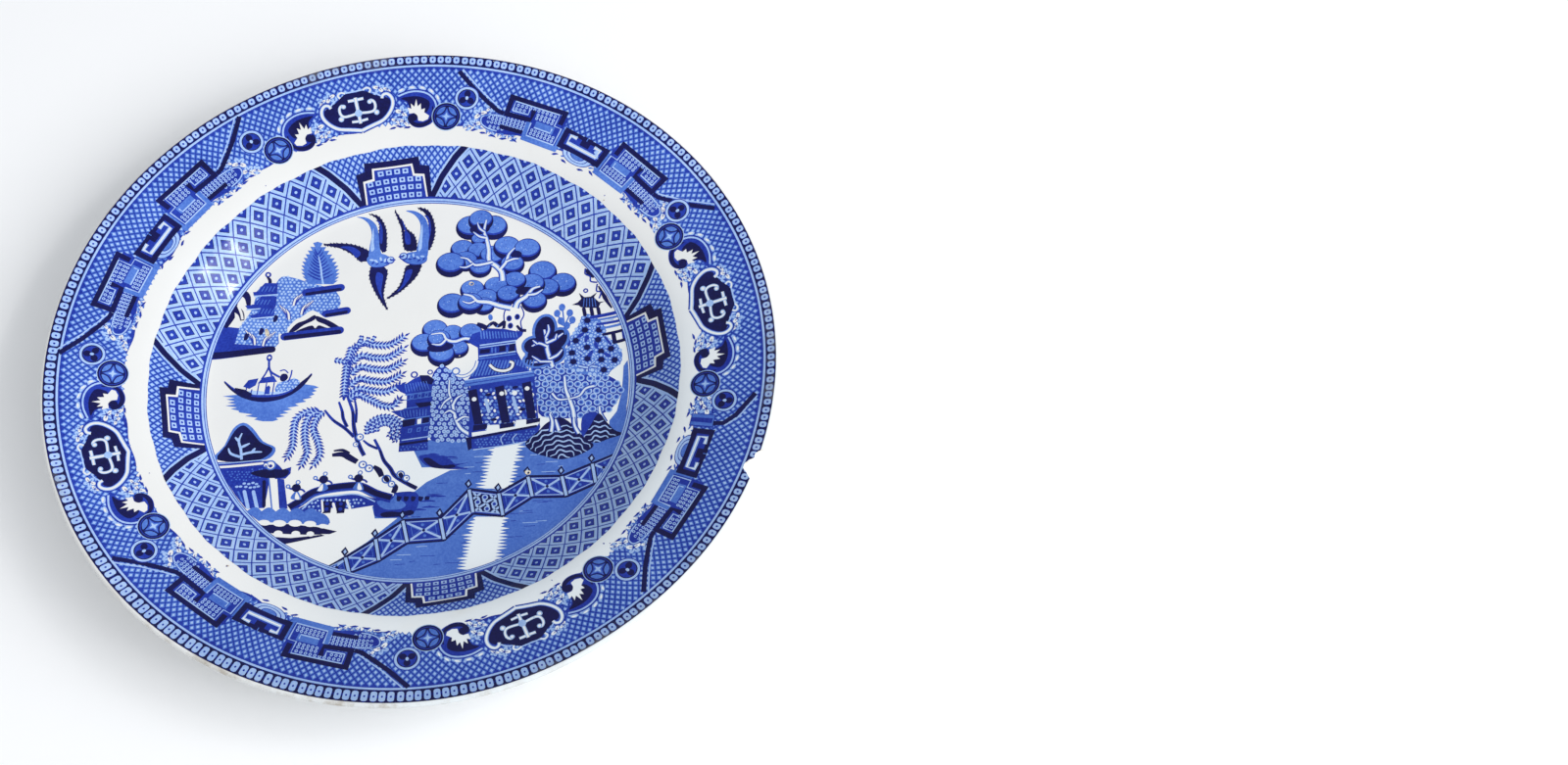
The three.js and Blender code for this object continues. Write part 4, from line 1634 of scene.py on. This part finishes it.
white_bough([(31.8, 31), (32.6, 33.4), (35.4, 35.6), (37.4, 38.6), (40, 39.6)], 1.4, (1.2, 0.4))
white_bough([(36, 36.2), (38.6, 36.6), (41, 38.4)], 0.9, (1, 0.4))
for x, y in ((29.8, 26.8), (32.6, 27.4), (30.4, 23.9)):
    block("mid", oval((x, y), 0.95, 1.2, 0, 12))
    block("dark", oval((x, y), 0.55, 0.8, 0, 8))
white_bough([(19.4, 18), (15, 18.8), (11.6, 17.6), (8.6, 18.4), (7, 20.8), (3.2, 20.4)], 1.1, (1, 0.4))
white_bough([(8.4, 18.4), (6.6, 16.4), (3.6, 16.6)], 0.8, (1, 0.4))
block("light", oval((23.3, 27.2), 0.8, 1.3, 10, 10))


# --- garden bushes behind the buildings: beaded leaves, rings and open flowers
leafy = [
    (5.4, 6.2), (8, 8.2), (11.6, 5.6), (14.6, 3.6), (17.2, 0.8), (18.4, -3), (19.6, -9), (20.6, -14.4),
    (18.8, -20), (12, -21), (6, -20.6), (3.8, -15), (4.6, -8), (4, -2), (4.4, 3),
]
dappled("mid", leafy, 1.8, "pale", 0.42, "light", 0.3)
for run, width in (
    ([(19.4, -18.6), (15.6, -16), (13.4, -11.6), (12.2, -6.6), (10.8, -2.4), (10.6, 2.6)], 1.1),
    ([(13.2, -10.4), (11.4, -9.2), (9.6, -10.4)], 0.8), ([(12.4, -7), (13.6, -4.4), (15.4, -3.2)], 0.8),
    ([(11.4, -4.2), (9.4, -6), (8.2, -8.6)], 0.7), ([(14, -13.2), (16.2, -11.6), (18.2, -11.8)], 0.8),
):
    white_bough(run, width, (1.2, 0.5))

ringed = [
    (38.6, 7.6), (42, 8.8), (46, 8.4), (50.4, 9.4), (53, 6.4), (58, 6.4), (64, 4.8), (68.4, 2), (69.9, -1.5),
    (68.4, -5.6), (66, -8.8), (62, -10.8), (55, -12), (43, -11.4), (41.2, -6), (39.4, 0),
]
patch("mid", ringed)
for spot in scatter(ringed, 2.75, 0.1):
    for ink, radius in (("pale", 1.28), ("light", 0.86), ("mid", 0.42)):
        dot(ink, spot, radius, 10)
for run, width in (
    ([(50, 4), (50.6, -0.8), (52, -4.6), (53.6, -9.6), (54.4, -16.4)], 1.3),
    ([(52, -4.6), (55.4, -3.4), (57.4, -0.6), (60.4, 0.4)], 0.8),
    ([(51.6, -4.6), (48.2, -4.8), (46, -2.4)], 0.8), ([(45.8, -9.8), (46.6, -12.8), (47, -16.6)], 1.2),
    ([(62.4, -7.6), (62.8, -10.2), (64.6, -13.6)], 1), ([(58.2, 9.8), (58.6, 6.4), (59, 4)], 0.8),
):
    white_bough(run, width, (0.6, 1.1))


def blossom(x, y):
    """An open flower of nine petals with a dark heart."""
    for ink, out, radius, sides in (("light", 1.75, 0.85, 8), ("pale", 1.8, 0.45, 6)):
        for k in range(9):
            angle = math.tau * k / 9 + x
            dot(ink, (x + out * math.cos(angle), y + out * math.sin(angle)), radius, sides)
    for k in range(3):
        dx, dy = 1.7 * math.cos(k * 1.05 + y), 1.7 * math.sin(k * 1.05 + y)
        line("mid", [(x - dx, y - dy), (x + dx, y + dy)], 0.45)
    dot("dark", (x, y), 1.15, 10)


dappled("light", [
    (50.2, 8), (49.8, 13), (51.4, 19), (54, 24), (56, 28.4), (59.4, 27.6), (62.6, 24.4), (64.2, 19.4),
    (67, 17.2), (69.6, 12.6), (68.2, 8.2), (62, 4.4), (55, 5.4),
], 1.7, "pale", 0.42)
for run in (
    [(57.6, 6), (57.4, 9), (55.6, 13), (57.4, 16.8), (56.6, 22), (57.6, 26)],
    [(57.6, 8), (60.6, 10.6), (62.2, 14), (61.4, 18.6), (61.6, 22)], [(55.8, 12.8), (53.4, 15), (53.6, 19)],
    [(58, 7.4), (54.6, 8.2), (52.4, 10.2)], [(60.6, 10.6), (64.4, 10.4), (67.6, 10.6)],
    [(59.4, 8), (62.6, 7.4), (64, 6.4)],
):
    bough(run, 0.7, "mid", "pale", edging=0.7)
for x, y in (
    (57, 26), (56.3, 22.2), (61.2, 22.2), (53.3, 18), (61, 18.4), (52.2, 13.2), (57.3, 15.4), (62.2, 13.8),
    (52.8, 9.8), (57.6, 11), (62.4, 10.6), (67, 10.4), (63.4, 6.6), (65.6, 14.8),
):
    blossom(x, y)
for x, y, turn in (
    (56.9, 18.8, 80), (58.6, 13, 60), (60.4, 16.2, 110), (55, 20.2, 40), (64.4, 12.4, 150), (50.9, 17.2, 90),
):
    block("mid", oval((x, y), 1.5, 0.7, turn, 10))

lobes = (
    (42.4, 22.2, 3.4, 5.4, -6), (47, 18.4, 3, 4.2, -28), (38.9, 16, 3.4, 3, 20), (42.4, 12.6, 5.6, 4, 10),
    (40.2, 10.4, 4.2, 2.4, 4), (46.6, 12.6, 2.6, 3.4, -30),
)
for x, y, across, high, turn in lobes:
    block("light", oval((x, y + 0.1), across + 0.95, high + 0.95, turn, 22))
for x, y, across, high, turn in lobes:
    block("dark", oval((x, y), across, high, turn, 22))
for run, width in (
    ([(45.8, 7.8), (44.8, 10.6), (43.6, 14.4), (43.2, 18.2), (42.2, 22.4)], 1.3),
    ([(43.5, 15.8), (40.6, 17), (38.2, 15.8)], 0.8), ([(40, 16.8), (38.4, 18.2)], 0.6),
    ([(43.4, 17.2), (46, 18.6), (48.8, 21)], 0.9), ([(46.2, 18.6), (46.6, 20.8)], 0.6),
    ([(44.8, 11), (47.2, 12.4), (48.8, 14.6)], 0.9), ([(45.2, 9.8), (41.4, 9.8), (38.4, 9.4)], 0.7),
    ([(41.4, 9.9), (38.4, 12)], 0.6), ([(42.8, 19.2), (43.8, 22), (43.4, 24.4)], 0.7),
):
    white_bough(run, width, (1.1, 0.5))
for x, y in ((48, 31.2), (50.8, 29), (46.4, 28.8), (51.8, 26.2), (47.8, 25.8), (50, 24)):
    sweep("light", [(49.6, 20.4), (49.2, 23.6), (x * 0.8 + 9.9, y - 1.4), (x, y)], 0.5)
    block("light", oval((x, y), 1.15, 1.5, 0, 12))

# --- the great garden house: two striped, upturned roofs over a columned room on a terrace
block("mid", [(17.8, 1), (39.6, 4.4), (41.8, -12.2), (42.6, -15.4), (40.8, -20.6), (20, -24.2), (18.4, -19)])
for x, y in scatter([(20.6, -1.2), (39, 1.6), (41.4, -13.4), (22.8, -16.8)], 1.55):
    ink = drawn.choice(("pale", "light", "bare", "light"))
    block(ink, oval((x, y), 0.68, 0.46, drawn.uniform(0, 180), 8))
for run in ([(23.4, -5), (24.8, -9.6)], [(32.8, -4.2), (34.4, -9.4)]):
    bar("pale", *run, 1.1)
for spot, radius in (((33.2, -2.4), 0.96), ((24, -3.2), 0.01)):  # a round light and a pinprick
    dot("bare", spot, radius, 10)
for x, y in ((24.2, -3.1), (33.3, -0.2), (36.2, -8.6), (26.6, -12.6)):
    block("dark", oval((x, y), 1.1, 0.6, 10, 8))
for top, foot, spot in (
    ((18.6, -1.2), (21.6, -14.6), (19.5, -4.8)), ((27.8, 0.2), (30.8, -14), (28.8, -2.6)),
    ((37, 1.8), (39.6, -12.4), (37.4, -0.6)),
):
    (x0, y0), (x1, y1) = top, foot
    block("dark", [(x0 - 1.5, y0 - 0.4), (x1 - 1.5, y1), (x1 + 1.4, y1 + 0.3), (x0 + 1.5, y0 + 0.4)])
    block("dark", [(x1 - 1.9, y1 - 2.4), (x1 - 1.8, y1 - 0.2), (x1 + 2.8, y1 + 0.4), (x1 + 2.7, y1 - 1.6)])
    dot("bare", spot, 0.85, 10)
block("bare", [
    (24.6, -14.7), (28.6, -14.5), (28.8, -16.1), (33.9, -15.2), (34.2, -12.8), (37.6, -12.4), (37.8, -14.4),
    (42.4, -13.4), (41.6, -14.8), (30.4, -16.9), (19.6, -19.1), (19.4, -17.6), (24.4, -16.8),
])
sweep("dark", [(17.6, -20), (24, -18.8), (32, -17), (41.4, -15)], 0.9)
for spot in scatter([(20.6, -20.2), (41.2, -16.2), (40.6, -20.2), (21, -23.6)], 1.15):
    dot("light", spot, 0.36, 6)
for x in (29.4, 33.4):
    sweep("pale", [(x + 1.4, -18), (x, -19.8), (x + 0.8, -22)], 0.35)
sweep("pale", [(20.2, -24.1), (30, -22.6), (40.4, -20.4)], 0.4)
block("dark", [(17.6, -20), (19.4, -19.6), (19.8, -23.6), (18.6, -24.4)])

block("mid", [
    (15.6, -0.2), (17.2, 3.4), (19.2, 6.6), (20, 11), (19.6, 15.2), (16, 17.4), (17.4, 20.6), (20, 21.6),
    (22.4, 22.9), (28.6, 22.6), (33, 21.6), (35.4, 22.8), (34.6, 20), (32.4, 17.8), (33.2, 13.6),
    (35.4, 9.4), (38, 6.2), (41.2, 4.4), (39.6, 3.6), (28, 2),
])
for k in range(13):
    x = 20.2 + k * 1.02
    line("light", [(x, 21.9 - 0.05 * k), (x + 0.5, 18.6 + 0.06 * k)], 0.46)
for k in range(19):
    x = 18.6 + k * 1.08
    lean = (x - 27) * 0.1
    top, foot = (x + (1.4 - lean * 0.2), 10.2 + k * 0.02), (x + lean * 0.4, 4 + k * 0.12)
    line("light", [top, foot], 0.52)
block("mid", [(31.6, 9), (36.4, 7.2), (39.8, 4.4), (36.2, 4), (31.8, 5.2)])
for y, ink, width in ((16.1, "pale", 0.5), (15.2, "pale", 0.4), (11.8, "pale", 0.5), (10.8, "light", 0.5)):
    line(ink, [(20.2, y), (32.8, y + 2)], width)
for x0, x1, y0, y1 in ((20.4, 23.8, 12.8, 14.4), (27, 29.2, 13.6, 15.8), (30.4, 32.4, 13.6, 16.6)):
    block("dark", [(x0, y0), (x0, y1), (x1, y1 + 0.4), (x1, y0 + 0.4)])
for x in (24.6, 25.8, 29.8):
    line("light", [(x, 13.2), (x - 0.1, 15.4)], 0.5)
for y, ink, width in ((1.7, "light", 1), (0.4, "light", 0.9)):
    line(ink, [(15.8, y), (28, y + 2.2), (39.6, y + 4.2)], width)
line("pale", [(15.8, 2.4), (28, 4.4), (38.8, 6)], 0.35)
bough(
    [(24, 8.6), (26, 6.8), (29, 6.2), (31.4, 7.2), (32, 9.2), (30.8, 9.8)], 0.95, "dark", "bare", edging=0.6,
)
bough(
    [(12, 6.6), (12.6, 4.8), (14.8, 4), (17.4, 5), (19.2, 7.4), (19.8, 10)], 0.8, "light", "bare",
    edging=0.6,
)
dot("light", (12.6, 6), 1.5, 12)
dot("bare", (12.6, 6), 1, 10)
for run, width in (
    ([(18.8, 24.6), (20.6, 23.8), (22.4, 22.8)], 1.9),
    ([(22.4, 23.4), (24.4, 25), (26.2, 23.8), (28.4, 25.6)], 1.5), ([(28.2, 22.8), (28.2, 25.8)], 1.2),
    ([(32.6, 24), (34.2, 22.2), (36, 22)], 1.2),
):
    sweep("dark", run, width, (0.7, 0.9))
for x in (22.8, 25.6):
    line("light", [(x, 23.2), (x + 0.5, 24.2)], 0.35)

# --- the small garden house beside it
block("mid", [
    (-8.2, 0.4), (-4, 1.2), (-1.4, 3.2), (1, 4.4), (5.2, 2.6), (4.8, -1.2), (4.8, -8), (5, -12.2),
    (4.6, -20.4), (5, -24.2), (-4.9, -25), (-4.9, -21.4), (-4.6, -15.2), (-3.6, -12.4), (-5.6, -11.6),
    (-8.6, -9.6), (-5, -9), (-3.4, -8.2), (-3.6, -3.2), (-6, -2),
])
for y, ink, width in (
    (-3.3, "light", 0.5), (-8.6, "light", 0.4), (-12.8, "light", 0.5), (-15.4, "light", 0.3),
    (-20.6, "pale", 0.4), (-5.3, "light", 0.3),
):
    line(ink, [(-4.2, y), (4.9, y + 1.5)], width)
for x, y in ((-2.6, -4.8), (0, -4.4), (2.4, -4), (-2.4, -17.8), (0.6, -17.4), (3, -17)):
    block("light", [(x, y), (x + 0.2, y + 1.6), (x + 1.5, y + 1.8), (x + 1.3, y + 0.2)])
    block("mid", [(x + 0.35, y + 0.35), (x + 0.5, y + 1.3), (x + 1.15, y + 1.4), (x + 1, y + 0.4)])
for outline in (
    [(0.2, 4.4), (1.2, 1.6), (4.6, 0.8), (5.4, 2.8), (3.2, 4.4)],
    [(-0.6, -6.4), (1, -8.2), (5.2, -7.2), (4.6, -5.8)],
    [(-4.4, -13), (-4.2, -15.6), (-0.2, -14.8), (0, -12.2)],
    [(2.4, -12), (2.4, -14.2), (4.6, -13.6), (4.6, -11.6)],
):
    block("dark", outline)
block("bare", [(0.6, -12.6), (0.7, -14.4), (2, -14.2), (2, -12.2)])
sweep("dark", [(-4.9, -22.2), (0, -21.4), (4.8, -20.6)], 0.9)
for spot in scatter([(-4.4, -23), (4.6, -21.4), (4.6, -23.6), (-4.4, -24.4)], 1.1):
    dot("light", spot, 0.3, 6)
for k in range(9):
    line("light", [(-5.4 + k * 1.1, -9.4 + 0.1 * k), (-4.6 + k * 1, -12.0 + 0.12 * k)], 0.25)
    line("light", [(-4.6 + k * 0.9, 0.9 + 0.16 * k), (-3.8 + k * 0.95, -2.2 + 0.15 * k)], 0.25)
for x, y, r in ((-1.6, 4.6, 1.3), (3.8, 5.6, 1)):
    dot("mid", (x, y), r, 12)
    dot("bare", (x, y), r * 0.6, 8)

# --- the far right: rocks along the edge, a lodge with its terrace
for run, width in (
    ([(55.8, 46), (57, 44.6), (58.8, 42.8)], 2),
    ([(60.4, 39.4), (62, 36.4), (63.6, 33.4), (65.4, 30.6)], 1.5),
):
    sweep("dark", run, width, (0.3, 0.4))
for run in (
    [(55.6, 46.4), (55.6, 44.4), (57.4, 43.2), (57.6, 41.4), (60, 40.8)],
    [(60, 40.2), (59.8, 37.6), (61.4, 37), (60.8, 34.6)],
):
    sweep("mid", run, 0.55)
block("dark", [
    (51.4, 32.2), (53.8, 32), (54.6, 31.2), (60.6, 30.8), (61.4, 32.8), (63, 33.4), (60.8, 33.2),
    (59.4, 34.6), (59, 35.2), (60, 37), (57.8, 35.4), (55.6, 35.2), (53.6, 37), (54.6, 34.6), (53.4, 33.2),
])
for k in range(5):
    line("light", [(55.6 + k * 0.9, 34.8), (55.4 + k * 1.1, 31.4)], 0.25)
dot("mid", (56, 37.8), 0.95, 8)
dot("bare", (56, 37.8), 0.45, 6)
for x in (55.6, 58.2, 60.6):
    bar("dark", (x, 30.6), (x + 0.5, 28.2), 1.3)
bar("mid", (58.4, 27.2), (69.4, 29.2), 1.3)
bar("light", (58.6, 25.8), (69.8, 27.6), 0.8)
bar("mid", (60.6, 24.4), (69.9, 25.8), 1)
bar("pale", (62, 25.4), (66, 26.2), 0.5)
bar("light", (62, 22.8), (70.2, 24.4), 0.9)
bar("dark", (62.8, 20.4), (70.6, 22), 1.1)
bar("dark", (66.2, 20.6), (66.8, 17.4), 1.5)
bar("mid", (69.6, 21), (70, 18.6), 0.9)
bar("dark", (66.6, 17.2), (71, 18.2), 1.2)
bar("mid", (63.4, 19.4), (65.4, 16.6), 0.8)


# --- rocks heaped in layers below the bushes
def ledge(run):
    """A white ledge, unless it is too short to see."""
    if len(run) > 3:
        line("pale", run, 0.6, taper=(0.5, 0.5))


def rocks(outline, heart, sizes, squash, start, end):
    """A dark heap of rock with white wavy ledges one above another."""
    soft = smooth(outline, True, 4)
    block("dark", soft)
    for size in sizes:
        run, steps = [], 40
        for k in range(steps + 1):
            angle = math.radians(start + (end - start) * k / steps)
            wave = 1 + 0.45 / size * math.sin(k * size * 0.13 + size)
            out = size * wave
            spot = (heart[0] + out * math.cos(angle), heart[1] + out * squash * math.sin(angle))
            if inside(soft, *spot):
                run.append(spot)
            else:
                ledge(run)
                run = []
        ledge(run)


patch("mid", [(56.6, -11.8), (59.6, -9.6), (62, -10.4), (60.6, -15), (59.6, -21), (57, -19.6)])
rocks([
    (57.6, -19.8), (59.6, -14.8), (62.2, -10.2), (64.8, -13.2), (67.8, -16.6), (70.8, -18.4), (66.4, -19.8),
    (61.8, -21.4),
], (63, -23.5), (3, 4.9, 6.8, 8.8, 10.8), 0.95, 170, 0)
rocks([
    (37.8, -21.4), (41.8, -17.2), (45, -13.6), (49.6, -11.8), (54.4, -15.4), (57.8, -19.6), (61, -22.4),
    (57, -25.6), (50.6, -27.6), (44.4, -26.4), (40, -24.6),
], (51, -28.5), (2.6, 4.6, 6.6, 8.6, 10.6, 12.6, 14.6), 0.92, 185, -10)
for run in (
    [(45.6, -10.4), (46.6, -13.6), (46.4, -17.2)], [(47.6, -12.4), (48.2, -14.4), (49, -16.8)],
    [(53.8, -11.6), (54.2, -14.8), (55.8, -17.8)],
):
    white_bough(run, 1, (0.6, 1.2))

# --- the flat islet in the water
patch("mid", [
    (2.2, -26.4), (6, -25.8), (9.6, -26.4), (12.8, -27.8), (14.6, -29.4), (19.4, -28.8), (15, -30.2),
    (19.6, -31.2), (13, -31.4), (6, -30.6), (3, -28.4),
])
patch("dark", [
    (3.6, -27.6), (5.6, -27.2), (8, -28.8), (10.2, -30), (13.8, -29.6), (14.4, -30.8), (9.6, -31.2),
    (6, -30.2),
])
for x, y in ((6.6, -25.9), (12.8, -27), (9.8, -26.8)):
    sweep("mid", [(x - 2, y - 0.2), (x, y + 0.2), (x + 2.4, y)], 0.7, (0.3, 0.3))

# --- the zigzag fence across the foreground
POSTS = [
    ((-25.8, -68.4), (-25.2, -69.4)), ((-19.6, -64.2), (-17.9, -69.8)), ((-10.2, -57.4), (-8.5, -65)),
    ((-1.6, -50.6), (0.4, -58.4)), ((10.8, -49.8), (12.6, -57.3)), ((19.8, -39), (21.6, -47.4)),
    ((29.8, -40.4), (31.6, -48.4)), ((39.3, -34.2), (41.1, -41.4)), ((50.7, -34), (52.5, -41.2)),
    ((60.8, -29.4), (62.2, -36.6)), ((69.6, -25.6), (66.2, -32.2)),
]
LATTICED = 5


def panel(left, right, lattice):
    """A fence panel: rails above and below, crossed bars or a flowered lattice between."""
    (top0, foot0), (top1, foot1) = left, right

    def spot(across, up):
        return part_way(part_way(foot0, foot1, across), part_way(top0, top1, across), up)

    block("mid", [spot(0, -0.05), spot(1, -0.05), spot(1, 1.02), spot(0, 1.02)])
    if lattice:
        block("dark", [spot(0.08, 0.1), spot(0.94, 0.1), spot(0.94, 0.86), spot(0.08, 0.86)])
        for across in (0.22, 0.5, 0.78):
            for up in (0.22, 0.48, 0.74):
                x, y = spot(across, up)
                if (across == 0.5) == (up == 0.48):
                    for k in range(4):
                        angle = k * 1.571 + 0.7
                        petal = (x + math.cos(angle), y + math.sin(angle))
                        block("pale", oval(petal, 0.85, 0.42, math.degrees(angle), 10))
                else:
                    dot("pale", (x, y), 1.05, 12)
                    dot("mid", (x, y), 0.62, 10)
    else:
        line("pale", [spot(0.1, 0.1), spot(0.92, 0.88)], 0.75)
        line("pale", [spot(0.1, 0.88), spot(0.92, 0.1)], 0.75)
        for across, up, lean in ((0.28, 0.5, 1), (0.74, 0.5, -1)):
            tip, back = spot(across + lean * 0.12, up), across - lean * 0.1
            line("light", [tip, spot(back, up + 0.22), spot(back, up - 0.22)], 0.35, closed=True)
        for across, up in ((0.5, 0.76), (0.5, 0.24), (0.5, 0.5)):
            dot("light" if up != 0.5 else "dark", spot(across, up), 0.55, 8)
    for up, ink, width in (
        (-0.06, "dark", 0.75), (1.03, "dark", 0.8), (0.92, "pale", 0.3), (0.06, "pale", 0.3),
    ):
        line(ink, [spot(0, up), spot(1, up)], width)


for number, (left, right) in enumerate(zip(POSTS, POSTS[1:])):
    panel(left, right, number == LATTICED)
for (x, y), foot in POSTS[1:-1]:
    bough([foot, (x, y)], 1, "dark", "pale", edging=0.7)
    block("dark", [(x - 1.7, y + 2.2), (x - 0.4, y + 0.4), (x + 0.9, y + 2), (x - 0.3, y + 4)])
    block("pale", [(x - 0.9, y + 2.2), (x - 0.4, y + 1.3), (x + 0.2, y + 2.1), (x - 0.3, y + 3.1)])

ring(picture, "bare", lambda a: wall_foot(a) - 1.7, lambda a: 82, 240)
rub_down(picture, (0.01, 16, 32, 46, 56, 62, 66, 69, 71.5, 74))

# ---------------------------------------------------------------------------------------
# Wear. Pits where the glaze popped and the body under it stained, faint tan marks round
# them, and specks of dirt and stray cobalt in the white.

stained, stained_tree, stained_shader, stained_place = new_finish("stained_pit")
stained_spread = between(stained_tree, clouds(stained_tree, stained_place, 700, 3, 0.6), 0.35, 0.65)
stained_tree.links.new(
    blended(stained_tree, stained_spread, (0.46, 0.36, 0.22, 1), (0.72, 0.66, 0.54, 1)),
    stained_shader.inputs["Base Color"],
)
stained_shader.inputs["Roughness"].default_value = 0.55
INK_FINISHES["stain"] = stained
wear = Tissue("wear")


def pit(x, y, across, high, turn=0, ink="stain"):
    """A ragged little pit."""
    ragged = [(px + drawn.uniform(-0.14, 0.14) * across, py + drawn.uniform(-0.14, 0.14) * high)
              for px, py in oval((x, y), across, high, turn, 11)]
    wear.fill(ink, smooth(ragged, True, 2))


pit(-53.6, 20.8, 0.8, 1.5, 15)
for x, y in ((15.9, 40.6), (39.2, -32.6)):
    pit(x, y, 0.95, 0.85)
    pit(x + 0.15, y - 0.05, 0.5, 0.45, ink="pale")
for x, y, size in (
    (-55.6, -72.5, 0.45), (-34.6, -12.2, 0.22), (13.5, 12, 0.25), (-9, 62, 0.2), (62, 67.5, 0.25),
):
    pit(x, y, size, size * 0.8)
for angle, radius, size in (
    (232.5, 91.6, 0.3), (303, 92.2, 0.26), (316, 92.6, 0.34), (316.8, 94.2, 0.22), (48, 93, 0.24),
    (205, 93.4, 0.2), (128, 92.4, 0.2),
):
    pit(*polar(angle, radius), size, size * 0.7, angle, "mid")
rub_down(wear, (0.01, 40, 60, 71, 75, 80, 86, 90, 95))

# ---------------------------------------------------------------------------------------
# Where it stands: a plain pale floor in a white room. Two small lamps high to the right
# make the bright marks on the glaze of the well's left wall, and two broad ones fill in.


def lamp(name, way, reach, size, power):
    """A square soft lamp out along a direction from the plate, turned to face it."""
    data = bpy.data.lights.new(name, "AREA")
    data.energy, data.size = power, size
    made = bpy.data.objects.new(name, data)
    heading = Vector(way).normalized()
    made.location = heading * reach
    made.rotation_euler = heading.to_track_quat("Z", "Y").to_euler()
    bpy.context.scene.collection.objects.link(made)


lamp("right_lamp", (0.62, -0.09, 0.78), 1.6, 0.05, 0.7)
lamp("far_lamp", (0.64, 0.04, 0.77), 1.6, 0.05, 0.5)
lamp("key", (0.76, -0.2, 0.62), 1.8, 1.1, 18)
lamp("window", (0.5, -0.55, 0.62), 2.2, 1.2, 10)

room = bpy.data.worlds.new("room")
room.use_nodes = True
room.node_tree.nodes["Background"].inputs["Color"].default_value = (0.92, 0.955, 1.0, 1)
room.node_tree.nodes["Background"].inputs["Strength"].default_value = 0.66
bpy.context.scene.world = room
bpy.context.scene.view_settings.view_transform = "Standard"

paper, paper_tree, paper_shader, paper_place = new_finish("floor_paper")
fibres = clouds(paper_tree, paper_place, 5)
paper_tone = blended(paper_tree, fibres, (0.93, 0.93, 0.935, 1), (0.95, 0.95, 0.95, 1))
paper_tree.links.new(paper_tone, paper_shader.inputs["Base Color"])
paper_shader.inputs["Roughness"].default_value = 0.75
floor_mesh = bpy.data.meshes.new("floor")
floor_mesh.from_pydata([(x, y, 0) for x, y in ((-4, -4), (4, -4), (4, 4), (-4, 4))], [], [(0, 1, 2, 3)])
floor_mesh.materials.append(paper)
floor = bpy.data.objects.new("floor", floor_mesh)
bpy.context.scene.collection.objects.link(floor)
